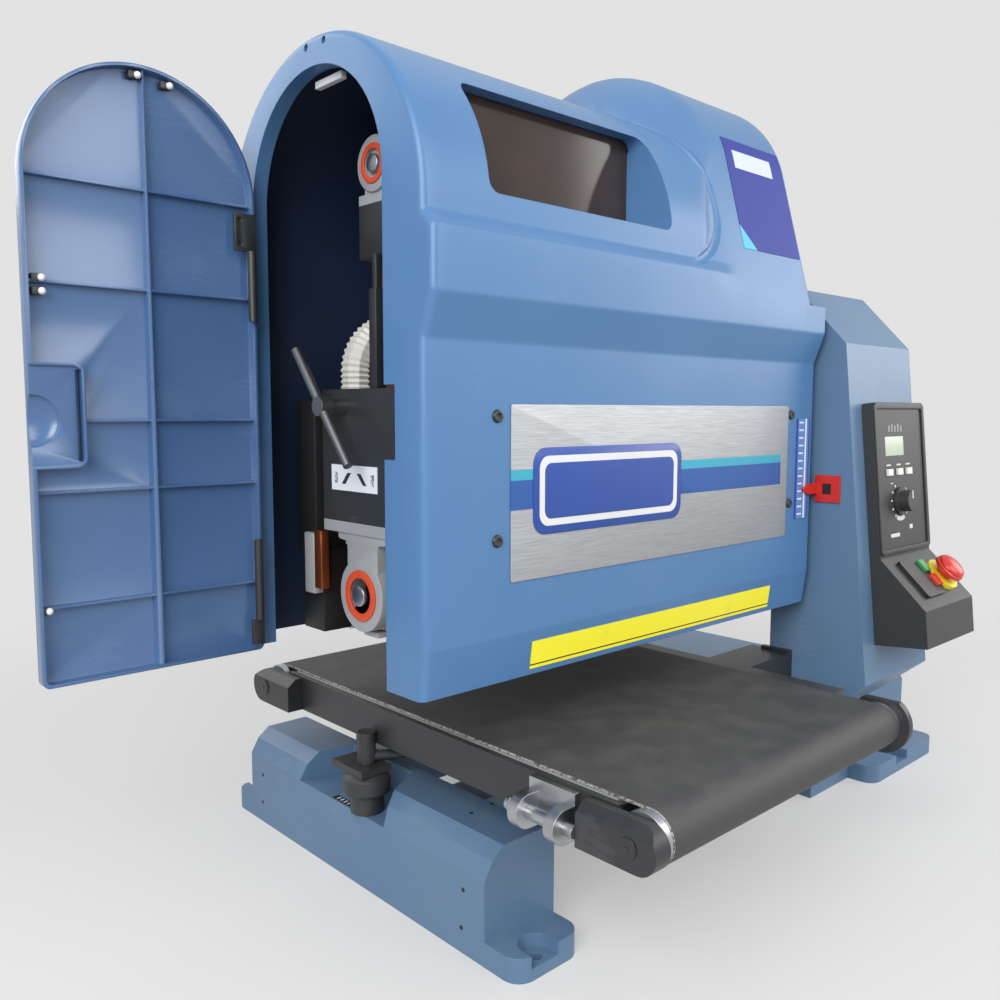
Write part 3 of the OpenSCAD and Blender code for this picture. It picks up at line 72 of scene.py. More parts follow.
def addCamera():
    bpy.ops.object.camera_add(location=at(view["x"], view["y"], view["z"]))
    camera = bpy.context.object
    turn = Matrix((view["right"], view["up"], [-a for a in view["ahead"]])).transposed()
    camera.matrix_world = Matrix.Translation(camera.location) @ turn.to_4x4()
    camera.data.sensor_width = view["sensor"]
    camera.data.lens = view["lens"]
    camera.data.clip_start = view["near"]
    bpy.context.scene.camera = camera


addCamera()
bpy.context.scene.view_settings.view_transform = "Standard"
print("camera placed")


# Small tools for modelling

def clear():
    if bpy.context.object and bpy.context.object.mode == "EDIT":
        bpy.ops.object.mode_set(mode="OBJECT")
    bpy.ops.object.select_all(action="DESELECT")


def pick(*pieces):
    clear()
    for piece in pieces:
        piece.select_set(True)
    bpy.context.view_layer.objects.active = pieces[0]
    return pieces[0]


def settle(piece, name=None):
    pick(piece)
    bpy.ops.object.transform_apply(location=True, rotation=True, scale=True)
    if name:
        piece.name = name
        piece.data.name = name
    return piece


def box(low, high, name="block"):
    clear()
    bpy.ops.mesh.primitive_cube_add(size=1, location=(Vector(low) + Vector(high)) / 2)
    piece = bpy.context.object
    piece.scale = Vector(high) - Vector(low)
    return settle(piece, name)


def rod(start, end, radius, name="rod", sides=48, endRadius=None):
    clear()
    start, end = Vector(start), Vector(end)
    along = end - start
    farRadius = radius if endRadius is None else endRadius
    bpy.ops.mesh.primitive_cone_add(vertices=sides, radius1=radius, radius2=farRadius, depth=along.length,
                                    location=(start + end) / 2)
    piece = bpy.context.object
    piece.rotation_mode = "QUATERNION"
    piece.rotation_quaternion = along.to_track_quat("Z", "Y")
    return settle(piece, name)


def ball(location, radius, segments=48):
    clear()
    bpy.ops.mesh.primitive_uv_sphere_add(segments=segments, ring_count=segments // 2, radius=radius,
                                         location=location)
    return bpy.context.object


def apply(piece, kind, **settings):
    pick(piece)
    made = piece.modifiers.new(kind.lower(), kind)
    for key, value in settings.items():
        setattr(made, key, value)
    bpy.ops.object.modifier_apply(modifier=made.name)
    return piece


def cut(piece, *cutters, way="DIFFERENCE"):
    for cutter in cutters:
        apply(piece, "BOOLEAN", object=cutter, operation=way, solver="EXACT")
        bpy.data.objects.remove(cutter)
    return piece


def soften(piece, width, segments=3, angle=35):
    apply(piece, "BEVEL", width=width * unit, segments=segments, limit_method="ANGLE",
          angle_limit=math.radians(angle), use_clamp_overlap=True)
    return smooth(piece, angle)


def smooth(piece, angle):
    pick(piece)
    bpy.ops.object.shade_smooth_by_angle(angle=math.radians(angle))
    return piece


def join(first, *others, name):
    pick(first, *others)
    bpy.ops.object.join()
    first.name = name
    first.data.name = name
    return first


# A closed solid through rows of points, all rows of one length
def loft(rows, name):
    shape = bmesh.new()
    rings = [[shape.verts.new(point) for point in row] for row in rows]
    for near, far in zip(rings, rings[1:]):
        for i in range(len(near)):
            k = (i + 1) % len(near)
            shape.faces.new((near[i], far[i], far[k], near[k]))
    shape.faces.new(rings[0])
    shape.faces.new(list(reversed(rings[-1])))
    bmesh.ops.recalc_face_normals(shape, faces=shape.faces)
    mesh = bpy.data.meshes.new(name)
    shape.to_mesh(mesh)
    shape.free()
    piece = bpy.data.objects.new(name, mesh)
    bpy.context.collection.objects.link(piece)
    return piece


# An outline drawn out from low to high along X or Y
def prism(outline, axis, low, high, name="prism"):
    place = {"x": lambda a, b, c: at(c, a, b), "y": lambda a, b, c: at(a, c, b)}[axis]
    return loft([[place(a, b, c) for a, b in outline] for c in (low, high)], name)


# Corner points of an outline turned into arcs, each corner being (a, b, radius)
def rounded(corners, steps=6, closed=True):
    points = []
    count = len(corners)
    for i, (a, b, radius) in enumerate(corners):
        here = Vector((a, b))
        if radius == 0 or (not closed and i in (0, count - 1)):
            points.append(here)
            continue
        before = (Vector(corners[i - 1][:2]) - here).normalized()
        after = (Vector(corners[(i + 1) % count][:2]) - here).normalized()
        half = before.angle(after) / 2
        reach = radius / math.tan(half)
        middle = here + (before + after).normalized() * (radius / math.sin(half))
        start, end = here + before * reach - middle, here + after * reach - middle
        sweep = math.atan2(start.x * end.y - start.y * end.x, start.dot(end))
        for k in range(steps + 1):
            turn = Matrix.Rotation(sweep * k / steps, 2)
            points.append(middle + turn @ start)
    return [(point.x, point.y) for point in points]


def roundBox(a0, a1, b0, b1, radius):
    return rounded([(a0, b0, radius), (a1, b0, radius), (a1, b1, radius), (a0, b1, radius)])


# Shader maths

class Wire:  # a shader value that can be used in sums
    def __init__(self, paint, socket):
        self.paint = paint
        self.socket = socket

    def calc(self, operation, *values):
        return self.paint.add("ShaderNodeMath", {"operation": operation}, dict(enumerate(values)))

    def __add__(self, other):
        return self.calc("ADD", self, other)

    def __radd__(self, other):
        return self.calc("ADD", other, self)

    def __sub__(self, other):
        return self.calc("SUBTRACT", self, other)

    def __rsub__(self, other):
        return self.calc("SUBTRACT", other, self)

    def __mul__(self, other):
        return self.calc("MULTIPLY", self, other)

    def __gt__(self, other):
        return self.calc("GREATER_THAN", self, other)

    def __lt__(self, other):
        return self.calc("LESS_THAN", self, other)

    def within(self, low, high):
        return (self > low) * (self < high)

    def ramp(self, low, high):
        return self.paint.add("ShaderNodeMapRange", {"interpolation_type": "SMOOTHSTEP"},
                              {"Value": self, "From Min": low, "From Max": high})


class Paint:  # a material and the ways to add nodes to it
    def __init__(self, name):
        self.material = bpy.data.materials.new(name)
        self.material.use_nodes = True
        self.tree = self.material.node_tree
        self.tree.nodes.clear()
        self.place = self.add("ShaderNodeTexCoord", out="Object")

    def add(self, kind, settings=None, values=None, out=0):
        made = self.tree.nodes.new(kind)
        for key, value in (settings or {}).items():
            setattr(made, key, value)
        for key, value in (values or {}).items():
            if isinstance(value, Wire):
                self.tree.links.new(value.socket, made.inputs[key])
            else:
                made.inputs[key].default_value = value
        return Wire(self, made.outputs[out])

    def noise(self, waves, detail, stretch=None):
        place = self.place
        if stretch:
            place = self.add("ShaderNodeMapping", {}, {"Vector": place, "Scale": stretch})
        return self.add("ShaderNodeTexNoise", {}, {"Vector": place, "Scale": waves, "Detail": detail})

    def part(self, axis, vector=None):
        return self.add("ShaderNodeSeparateXYZ", {}, {"Vector": vector or self.place}, axis)

    def mix(self, share, first, second):
        return self.add("ShaderNodeMix", {"data_type": "RGBA"}, {0: share, 6: first, 7: second}, 2)

    def relief(self, height, depth, strength=1.0, normal=None):
        values = {"Height": height, "Distance": depth, "Strength": strength}
        if normal:
            values["Normal"] = normal
        return self.add("ShaderNodeBump", {}, values)

    def surface(self, colour, rough, relief, more=None):
        values = {"Base Color": colour, "Roughness": rough, "Normal": relief, **(more or {})}
        return self.close(self.add("ShaderNodeBsdfPrincipled", {}, values))

    # Print or plastic over a fine grain: its waves a metre, depth and strength, then roughness and its range
    def printed(self, colour, waves, depth, strength, rough, vary):
        grain = self.noise(waves, 2)
        return self.surface(colour, rough + (grain - 0.5) * vary, self.relief(grain, depth, strength))

    def close(self, shader):
        end = self.tree.nodes.new("ShaderNodeOutputMaterial")
        self.tree.links.new(shader.socket, end.inputs["Surface"])
        return self.material


def tone(code):
    parts = [int(code[i:i + 2], 16) / 255 for i in (1, 3, 5)]
    return [p / 12.92 if p < 0.04045 else ((p + 0.055) / 1.055) ** 2.4 for p in parts] + [1.0]


# Finishes. Clouds and grain are in waves a metre, the grain's depth and the rounding of edges in metres.
plainLook = {"roughVary": 0.12, "metal": 0.0, "coat": 0.0, "coatRough": 0.15, "cloud": 6.0, "cloudShare": 0.5,
             "grainDepth": 0.00005, "grainStretch": None, "grainStrength": 0.9, "cell": False, "scuff": 0.0,
             "scuffColour": "#9aa0a6", "dust": 0.0, "edge": 0.0012, "clear": 0.0, "inside": None,
             "edgeLine": None}

# Wear that a finish may carry, and the added roughness where the inner shade is painted: noises as waves a
# metre and detail, ramps from their start to their full value
aging = {"scratch": (55, 5, (1, 1, 6)), "scratchRamp": (0.36, 0.48), "scratchRough": 0.2,
         "patch": (9, 2), "patchRamp": (0.45, 0.7),
         "dust": (28, 5), "dustRamp": (0.35, 0.75), "upward": (0.55, 1.0), "dustColour": "#b9b6ae",
         "dustRough": 0.3,
         "line": (300, 2), "lineRamp": (0.35, 0.55), "lineColour": "#c9c9c6", "lineShare": 0.55,
         "insideRough": 0.25}

# Inner side of the head's shell, which takes a painted shade: the middle that it looks at, where it starts,
# the right end wall, the recess
innerShadeZone = {"middle": (17, 690), "left": -296.5, "endWall": 290, "recessRight": 31, "recessBack": -92,
             "recessZ": (725, 835), "outward": -0.004, "endTurn": -0.5}


# Share of painted shade: inner faces of the head's shell and its right end wall, less the window recess
def innerShadeShare(paint):
    s = innerShadeZone
    x, y, z = [paint.part(k) for k in range(3)]
    facing = paint.add("ShaderNodeNewGeometry", out="True Normal")
    turn = [paint.part(k, facing) for k in range(3)]
    middle = at(0, *s["middle"])
    low = at(s["left"], s["recessBack"], s["recessZ"][0])
    high = at(s["endWall"], 0, s["recessZ"][1])
    inward = (turn[1] * (y - middle.y) + turn[2] * (z - middle.z)) < s["outward"]
    recess = (y < low.y) * z.within(low.z, high.z) * (x < at(s["recessRight"], 0, 0).x)
    endWall = (x > high.x) * (turn[0] < s["endTurn"])
    return inward * (x > low.x) * (1 - recess) + endWall


def dress(name, colour, shade, rough, grain, **given):
    look = {**plainLook, **given}
    paint = Paint(name)
    cloud = paint.noise(look["cloud"], 4)
    if look["cell"]:
        fine = paint.add("ShaderNodeTexVoronoi", {}, {"Vector": paint.place, "Scale": grain})
    else:
        fine = paint.noise(grain, 2, look["grainStretch"])
    skin = paint.mix(cloud.ramp(0.3, 0.7) * look["cloudShare"], tone(colour), tone(shade))
    rough = rough + (cloud - 0.5) * look["roughVary"] + (fine - 0.5) * (look["roughVary"] / 2)
    if look["scuff"]:
        scratch = paint.noise(*aging["scratch"]) * paint.noise(*aging["patch"]).ramp(*aging["patchRamp"])
        worn = scratch.ramp(*aging["scratchRamp"]) * look["scuff"]
        skin = paint.mix(worn, skin, tone(look["scuffColour"]))
        rough = rough + worn * aging["scratchRough"]
    if look["dust"]:
        upward = paint.part(2, paint.add("ShaderNodeNewGeometry", out="Normal")).ramp(*aging["upward"])
        laid = upward * paint.noise(*aging["dust"]).ramp(*aging["dustRamp"]) * look["dust"]
        skin = paint.mix(laid, skin, tone(aging["dustColour"]))
        rough = rough + laid * aging["dustRough"]
    if look["edgeLine"]:
        low, high = [at(x, 0, 0).x for x in look["edgeLine"]]
        line = paint.part(0).within(low, high) * paint.noise(*aging["line"]).ramp(*aging["lineRamp"])
        skin = paint.mix(line * aging["lineShare"], skin, tone(aging["lineColour"]))
    # The inside colour darkens the head shell's inner faces: painted shade
    if look["inside"]:
        inner = innerShadeShare(paint)
        skin = paint.mix(inner, skin, tone(look["inside"]))
        rough = rough + inner * aging["insideRough"]
    rounding = paint.add("ShaderNodeBevel", {"samples": 4}, {"Radius": look["edge"]})
    relief = paint.relief(fine, look["grainDepth"], look["grainStrength"], rounding)
    return paint.surface(skin, rough, relief, {
        "Metallic": look["metal"], "Coat Weight": look["coat"], "Coat Roughness": look["coatRough"],
        "Transmission Weight": look["clear"]})


finishes = {
    # The casing's inside colour is painted shade on the shell's inner faces
    "casing paint": dress("casingPaint", colour="#4c76a3", shade="#456e9b", rough=0.36, grain=650,
                          grainDepth=0.00004, dust=0.03, scuff=0.03, inside="#12233f"),
    "base paint": dress("basePaint", colour="#5a7794", shade="#506f91", rough=0.4, grain=420,
                        grainDepth=0.0001, dust=0.08, scuff=0.07),
    "door plastic": dress("doorPlastic", colour="#46658f", shade="#3c5b86", rough=0.27, grain=1500,
                          grainDepth=0.00002, scuff=0.04, coat=0.3),
    "black enamel": dress("blackEnamel", colour="#28292b", shade="#303133", rough=0.4, grain=700,
                          dust=0.06, scuff=0.12, scuffColour="#6a6b6d"),
    "black plastic": dress("blackPlastic", colour="#2a2b2d", shade="#323335", rough=0.46, grain=1400,
                           cell=True, grainDepth=0.00006, dust=0.05),
    "belt rubber": dress("beltRubber", colour="#38383a", shade="#3d3c3d", rough=0.6, grain=900, cell=True,
                         cloud=3, cloudShare=0.6, grainDepth=0.0002, dust=0.05, edge=0.0008,
                         edgeLine=(-206.5, -204.2)),
    "turned steel": dress("turnedSteel", colour="#b4b6b9", shade="#9c9fa3", rough=0.34, metal=1.0, grain=60,
                          grainStretch=(60, 1, 1), grainDepth=0.00003, scuff=0.15, scuffColour="#6e6a64"),
    "cast grey": dress("castGrey", colour="#a9abad", shade="#929598", rough=0.5, metal=0.3, grain=500,
                       grainDepth=0.0002, dust=0.06, scuff=0.1),
    "motor paint": dress("motorPaint", colour="#3a3c40", shade="#2d2f33", rough=0.5, grain=500, dust=0.1),
    "drum rubber": dress("drumRubber", colour="#e8762e", shade="#d5601f", rough=0.55, grain=800,
                         grainDepth=0.00008, dust=0.05),
    "abrasive cloth": dress("abrasiveCloth", colour="#8f5430", shade="#7b452a", rough=0.85, grain=2600,
                            cell=True, grainDepth=0.0003, dust=0.1, edge=0.0004),
    "smoked window": dress("smokedWindow", colour="#40312a", shade="#221a16", cloud=14, rough=0.12,
                           roughVary=0.03, grain=40, grainDepth=0.00002, clear=0.2, edge=0.0006),
    "hose plastic": dress("hosePlastic", colour="#d9d8d3", shade="#c9c7c0", rough=0.45, grain=600, dust=0.12),
    "signal red": dress("signalRed", colour="#c8281f", shade="#b3211a", rough=0.32, grain=900, coat=0.25),
    "signal green": dress("signalGreen", colour="#1f9145", shade="#19803b", rough=0.32, grain=900, coat=0.25),
    "signal yellow": dress("signalYellow", colour="#e9d92b", shade="#dccb22", rough=0.4, grain=900),
    "white button": dress("whiteButton", colour="#dcdcd8", shade="#cfcfca", rough=0.38, grain=1100),
    "display glass": dress("displayGlass", colour="#a9b79a", shade="#9dab8e", rough=0.16, grain=300,
                           coat=0.6),
}
handleSteel = dress("handleSteel", colour="#77797c", shade="#5c5e61", rough=0.42, metal=0.9, grain=80,
                    grainStretch=(1, 1, 30), grainDepth=0.00003)
sealOrange = dress("sealOrange", colour="#cf4a26", shade="#b63c1d", rough=0.5, grain=700)
deepBlack = dress("deepBlack", colour="#0f1012", shade="#151619", rough=0.55, grain=500)
copperBar = dress("copperBar", colour="#b5673f", shade="#96512f", rough=0.35, metal=0.9, grain=90,
                  grainStretch=(1, 1, 30), grainDepth=0.00003)
markWhite = dress("markWhite", colour="#d7d8d9", shade="#c8c9ca", rough=0.5, grain=900)
badgeBlue = dress("badgeBlue", colour="#1f4596", shade="#1b3d88", rough=0.36, grain=700, coat=0.1)
markGrey = dress("markGrey", colour="#8b8c8e", shade="#7d7e80", rough=0.5, grain=900)


# Black switch body and, past its right side, the yellow plate of the emergency stop
switchLook = {"split": 475, "black": "#1a1b1d", "yellow": "#e9d92b", "print": (1200, 0.00004, 0.8, 0.42, 0.2)}


def switchPaint():
    s = switchLook
    paint = Paint("switchPaint")
    onStop = paint.part(0) > at(s["split"], 0, 0).x
    return paint.printed(paint.mix(onStop, tone(s["black"]), tone(s["yellow"])), *s["print"])


ownLook = {"tension_handle": handleSteel, "switch_plate": switchPaint()}
slotOf = {part["node"]: part["material_slot"] for part in frame["record"]["subparts"]}


def wear(piece, slot, body=None, *stood):
    piece.data.materials.clear()
    piece.data.materials.append(finishes[slot] if isinstance(slot, str) else slot)
    if body:
        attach(piece, body)
    if stood:
        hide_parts(*stood)
    return piece


for name, node in nodes.items():
    look = ownLook.get(name, finishes[slotOf[name]])
    for slot in node.material_slots or [None]:
        if slot is None:
            node.data.materials.append(look)
        else:
            slot.material = look
print("finishes on", len(nodes), "pieces of the frame")


# Stage

stageLook = {"floor": 0.7, "floorSize": 8, "sky": 0.765, "ambient": 0.42, "fadeNear": 0.75, "fadeFar": 1.7,
             "fadeLow": 0.45, "aimZ": 0.45}


def addFloor():
    s = stageLook
    clear()
    bpy.ops.mesh.primitive_plane_add(size=s["floorSize"], location=(0, 0, cadBox[0][2]))
    floor = settle(bpy.context.object, "floor")
    paint = Paint("floorPaint")
    far = paint.add("ShaderNodeVectorMath", {"operation": "LENGTH"}, {0: paint.place}, "Value")
    fade = s["fadeLow"] + far.ramp(s["fadeNear"], s["fadeFar"]) * (1 - s["fadeLow"])
    matt = paint.add("ShaderNodeBsdfDiffuse", {}, {"Color": (s["floor"], s["floor"], s["floor"], 1)})
    air = paint.add("ShaderNodeBsdfTransparent")
    blend = paint.add("ShaderNodeMixShader", {}, {0: fade, 1: matt, 2: air})
    floor.data.materials.append(paint.close(blend))


# White world: full where a ray from the camera, through glass or off a gloss meets it, weaker as light
def addSky():
    world = bpy.data.worlds.new("studio")
    bpy.context.scene.world = world
    world.use_nodes = True
    tree = world.node_tree
    tree.nodes.clear()
    rays = tree.nodes.new("ShaderNodeLightPath")
    shown = rays.outputs["Is Camera Ray"]
    for kind in ("Is Transmission Ray", "Is Glossy Ray"):
        either = tree.nodes.new("ShaderNodeMath")
        either.operation = "MAXIMUM"
        tree.links.new(shown, either.inputs[0])
        tree.links.new(rays.outputs[kind], either.inputs[1])
        shown = either.outputs[0]
    strength = tree.nodes.new("ShaderNodeMapRange")
    tree.links.new(shown, strength.inputs["Value"])
    strength.inputs["To Min"].default_value = stageLook["ambient"]
    strength.inputs["To Max"].default_value = stageLook["sky"]
    back = tree.nodes.new("ShaderNodeBackground")
    back.inputs["Color"].default_value = (1, 1, 1, 1)
    tree.links.new(strength.outputs[0], back.inputs["Strength"])
    end = tree.nodes.new("ShaderNodeOutputWorld")
    tree.links.new(back.outputs[0], end.inputs["Surface"])


# Place in metres, size in metres and power of each lamp
lamps = {"key": ((-2.2, -1.2, 1.5), 1.6, 60), "front": ((0.35, -2.4, 1.6), 1.5, 32),
         "side": ((2.3, -1.5, 1.3), 1.4, 23), "top": ((0.1, 0.2, 2.7), 1.8, 4),
         "rear": ((-1.2, 2.0, 1.9), 1.6, 16)}


def addLamps():
    for name, (place, size, power) in lamps.items():
        bpy.ops.object.light_add(type="AREA", location=place)
        lamp = bpy.context.object
        lamp.name = name + "Lamp"
        lamp.data.size = size
        lamp.data.energy = power
        aim = Vector((0, 0, stageLook["aimZ"])) - Vector(place)
        lamp.rotation_euler = aim.to_track_quat("-Z", "Y").to_euler()


addFloor()
addSky()
addLamps()
print("stage lit")


# Head casing: the arched shell with its front band, swelling into the high dome over the motor

casing = {"left": -313, "right": 339, "wall": 4, "bottom": 277, "archY": 17, "archZ": 715, "archR": 172.4,
          "bulge": 14, "domeZ": 798, "domeR": 147, "domeRight": 306, "bandTop": 322.5, "bandIn": 5.9,
          "slantLow": 596, "slantHigh": 634, "ledgeLow": 690, "ledgeHigh": 703, "split": 668, "edge": 8,
          "edgeSteps": 6, "arcSteps": 72, "stations": 56, "flankTop": (33, 118), "flankFront": (96, 150),
          "flankLean": 0.85, "shelfLeft": 290}
opening = {"y0": -98, "y1": 133, "arch": 743, "arcSteps": 48, "rim": 3, "depth": 16, "notchY": -114,
           "notchZ": (490, 557), "holes": ((22.9, 878), (-8, 877)), "holeR": 3.5}
window = {"x": (-237, 29), "z": (727, 833), "round": 12, "wall": 3, "pane": -90, "paneT": 4}
port = {"z": 460, "radius": 54.05}


def ease(t):
    return t * t * (3 - 2 * t)


def mixed(a, b, t):
    return a + (b - a) * t


def tangentAngle(y, z, way):
    away = Vector((y - casing["archY"], z - casing["domeZ"]))
    return math.atan2(away.y, away.x) - way * math.acos(casing["domeR"] / away.length)


# The casing's outline at a place along the drums, inset by w: up the front, over the top and down the back
def casingRow(x, w):
    c, half = casing, w / 2
    front, rear = c["archY"] - c["archR"], c["archY"] + c["archR"]
    bulge = front - c["bulge"]
    low = rounded([(front + c["bandIn"] + w, c["bottom"], 0), (front + w, c["bandTop"], 30),
                   (front + w, c["slantLow"] + half, 14), (bulge + w, c["slantHigh"] + half, 14),
                   (bulge + w, c["split"], 0)], closed=False)
    step = rounded([(bulge + w, c["split"], 0), (bulge + w, c["ledgeLow"] - half, 7),
                    (front + w, c["ledgeHigh"] - half, 6), (front + w, c["archZ"], 0)], closed=False)[1:-1]
    shares = [k / c["arcSteps"] for k in range(c["arcSteps"] + 1)]
    archR, domeR = c["archR"] - w, c["domeR"] - w
    arch = step + [(c["archY"] - archR * math.cos(math.pi * t), c["archZ"] + archR * math.sin(math.pi * t))
                   for t in shares]
    start = tangentAngle(bulge, c["split"], 1) + 2 * math.pi
    end = tangentAngle(rear, c["split"], -1)
    turns = [mixed(start, end, t) for t in shares]
    ring = [(c["archY"] + domeR * math.cos(a), c["domeZ"] + domeR * math.sin(a)) for a in turns]
    (footY, footZ), (topY, topZ) = (bulge + w, c["split"]), ring[0]
    rises = [(z - footZ) / (topZ - footZ) for y, z in step]
    dome = [(mixed(footY, topY, t), mixed(footZ, topZ, t)) for t in rises] + ring
    upper = []
    for i, (near, far) in enumerate(zip(arch, dome)):
        frontShare = ease(min(1, max(0, 1 - 2 * (i - len(step)) / c["arcSteps"])))
        start = mixed(c["flankTop"][0], c["flankFront"][0], frontShare)
        end = mixed(c["flankTop"][1], c["flankFront"][1], frontShare)
        t = min(1, max(0, (x - start) / (end - start)))
        share = mixed(ease(t), t * (2 - t), c["flankLean"])
        upper.append((mixed(near[0], far[0], share), mixed(near[1], far[1], share)))
    return low + upper + [(rear - w, c["split"]), (rear - w, c["bottom"])]


def casingSolid(left, right, inset, drop, edge, name):
    c = casing
    turns = [math.pi / 2 * k / c["edgeSteps"] for k in range(c["edgeSteps"])] if edge else []
    steps = [(left + edge * (1 - math.cos(a)), edge * (1 - math.sin(a))) for a in turns]
    body = [(mixed(left + edge, right - edge, k / c["stations"]), 0) for k in range(c["stations"] + 1)]
    ends = [(right - (x - left), w) for x, w in reversed(steps)]
    rows = [[at(x, y, z - (drop if z == c["bottom"] else 0)) for y, z in casingRow(x, w + inset)]
            for x, w in steps + body + ends]
    return loft(rows, name)


# Outer face of the casing's front at a place and height
def frontAt(x, z, w=0.0):
    row = casingRow(x, w)
    for (y0, z0), (y1, z1) in zip(row, row[1:]):
        if y0 < casing["archY"] and z0 <= z <= z1:
            return mixed(y0, y1, (z - z0) / max(z1 - z0, 0.001))
    return row[0][0]


# The line where the ledge turns up and parts the arch from the dome
crease = {"path": ((40, 699), (68, 701), (93, 710), (113, 728), (125, 757), (121, 796), (99, 828), (62, 857),
                   (30, 872)), "radius": 8, "endShare": 0.3, "out": 4.8, "steps": 6, "sides": 16}


# A tube along a smooth curve through the line's points, thinner at both ends
def creaseTube():
    c = crease
    path = [Vector(point) for point in c["path"]]
    path = [path[0] * 2 - path[1]] + path + [path[-1] * 2 - path[-2]]
    points = []
    for a, b, d, e in zip(path, path[1:], path[2:], path[3:]):
        square, cube = 2 * a - 5 * b + 4 * d - e, 3 * b - a - 3 * d + e
        for k in range(c["steps"]):
            t = k / c["steps"]
            x, z = 0.5 * (2 * b + (d - a) * t + square * t * t + cube * t ** 3)
            points.append(at(x, frontAt(x, z) - c["out"], z))
    last = len(points) - 1
    turns = [2 * math.pi * k / c["sides"] for k in range(c["sides"])]
    rows = []
    for i, point in enumerate(points):
        along = (points[min(i + 1, last)] - points[max(i - 1, 0)]).normalized()
        side = along.cross(Vector((0, -1, 0))).normalized()
        out = side.cross(along)
        end = min(i, last - i) / (2 * c["steps"])
        radius = c["radius"] * unit * mixed(c["endShare"], 1, min(1, end))
        rows.append([point + (side * math.cos(a) + out * math.sin(a)) * radius for a in turns])
    return loft(rows, "crease")


def openingOutline(grow, drop=2):
    o, foot = opening, casing["bottom"] - drop
    mid, r = (o["y0"] + o["y1"]) / 2, (o["y1"] - o["y0"]) / 2 + grow
    turns = [math.pi * k / o["arcSteps"] for k in range(o["arcSteps"] + 1)]
    arc = [(mid - r * math.cos(a), o["arch"] + r * math.sin(a)) for a in turns]
    return [(mid - r, foot)] + arc + [(mid + r, foot)]


def makeCasing():
    c, o, wall = casing, opening, casing["wall"]
    front, rear = c["archY"] - c["archR"], c["archY"] + c["archR"]
    bulge, split, left = front - c["bulge"], c["split"] - 0.02, c["left"]
    shell = casingSolid(left, c["domeRight"], 0, 0, c["edge"], "headShell")
    lowRow = rounded([(front + c["bandIn"], c["bottom"], 0), (front, c["bandTop"], 30),
                      (front, c["slantLow"], 14), (bulge, c["slantHigh"], 14), (bulge, split, 0),
                      (rear, split, 0), (rear, c["bottom"], 0)])
    cut(shell, prism(lowRow, "x", c["shelfLeft"], c["right"]), way="UNION")
    room = casingSolid(left + wall, c["domeRight"] - wall, wall, 2, 0, "room")
    low, high, back = c["bottom"] - 3, c["split"] - wall, rear - wall
    lowRoom = [(front + c["bandIn"] + wall, low), (front + c["bulge"], high), (back, high), (back, low)]
    cut(room, prism(lowRoom, "x", c["shelfLeft"] - 10, c["right"] - wall), way="UNION")
    (x0, x1), (z0, z1), grow = window["x"], window["z"], window["wall"]
    outer = roundBox(x0 - grow, x1 + grow, z0 - grow, z1 + grow, window["round"] + grow)
    paneBack = window["pane"] + window["paneT"]
    cut(room, prism(outer, "y", front - 30, paneBack))
    cut(shell, room)
    cut(shell, prism(roundBox(x0, x1, z0, z1, window["round"]), "y", front - 30, paneBack + 1))
    cut(shell, prism(openingOutline(0), "x", left - 1, left + wall + 1))
    rim = prism(openingOutline(o["rim"], 0), "x", left + 1, left + o["depth"])
    cut(rim, prism(openingOutline(0), "x", left - 2, left + o["depth"] + 2))
    cut(shell, rim, way="UNION")
    low, high = o["notchZ"]
    cut(shell, box(at(left - 2, o["notchY"], low), at(left + o["depth"] + 2, o["y0"] + 1, high)))
    cut(shell, rod(at(0, rear - 12, port["z"]), at(0, rear + 6, port["z"]), port["radius"] * unit, sides=96))
    for y, z in o["holes"]:
        cut(shell, rod(at(left - 3, y, z), at(left + 7, y, z), o["holeR"] * unit, sides=24))
    cut(shell, creaseTube())
    smooth(shell, 32)
    return wear(shell, "casing paint", "head", "head_casing", "motor_dome")


makeCasing()
print("casing made")


# Plates on the front of the casing, with nothing written on them

plate = {"x": (-211.4, 277.7), "z": (373, 540), "thick": 1.4, "round": 2.5, "band": (441, 469, 479),
         "bandEnd": 262, "screws": ((-228, 529), (-228, 414), (286, 529), (286, 415)), "screwR": 6.5}
# In the brushed plate, shade, down, across, start and the share after them set a painted shade to the lower
# right
brushed = {"brush": (40, 4, (1, 1, 60)), "blotch": (5, 3), "light": "#b9babd", "dark": "#9fa1a4",
           "shade": "#8f9194", "down": 2.2, "across": 0.9, "start": 0.25, "paintedShadeShare": 0.5, "blue": "#1c4f96",
           "upperBlue": "#2f9cb5", "bandShare": 0.97, "rough": 0.55, "metal": 0.55, "bandMetal": 0.45}
badge = {"x": (-183, 50), "z": (415, 499), "round": 16, "steps": ((0, 1.0), (8, 1.3), (15, 1.6))}
strip = {"x": (-180, 250), "z": (283, 311), "thick": 0.5, "line": (286.2, 287.6), "ground": "#efe52f",
         "mark": "#1b1b18", "dirt": "#8a8670", "dirtShare": 0.15}
scale = {"x": (301, 332), "z": (393, 524), "thick": 1.2, "round": 1.5, "ticks": 100, "tickStart": 0.8,
         "tick": (0.005, 0.016), "line": (0.02, 0.0235), "ground": (0.0025, 0.0285), "blue": "#5f80b8",
         "light": "#dfe4f2", "border": "#27419c", "print": (900, 0.00002, 1.0, 0.4, 0.1)}
frontY = casing["archY"] - casing["archR"]
gap = 0.05
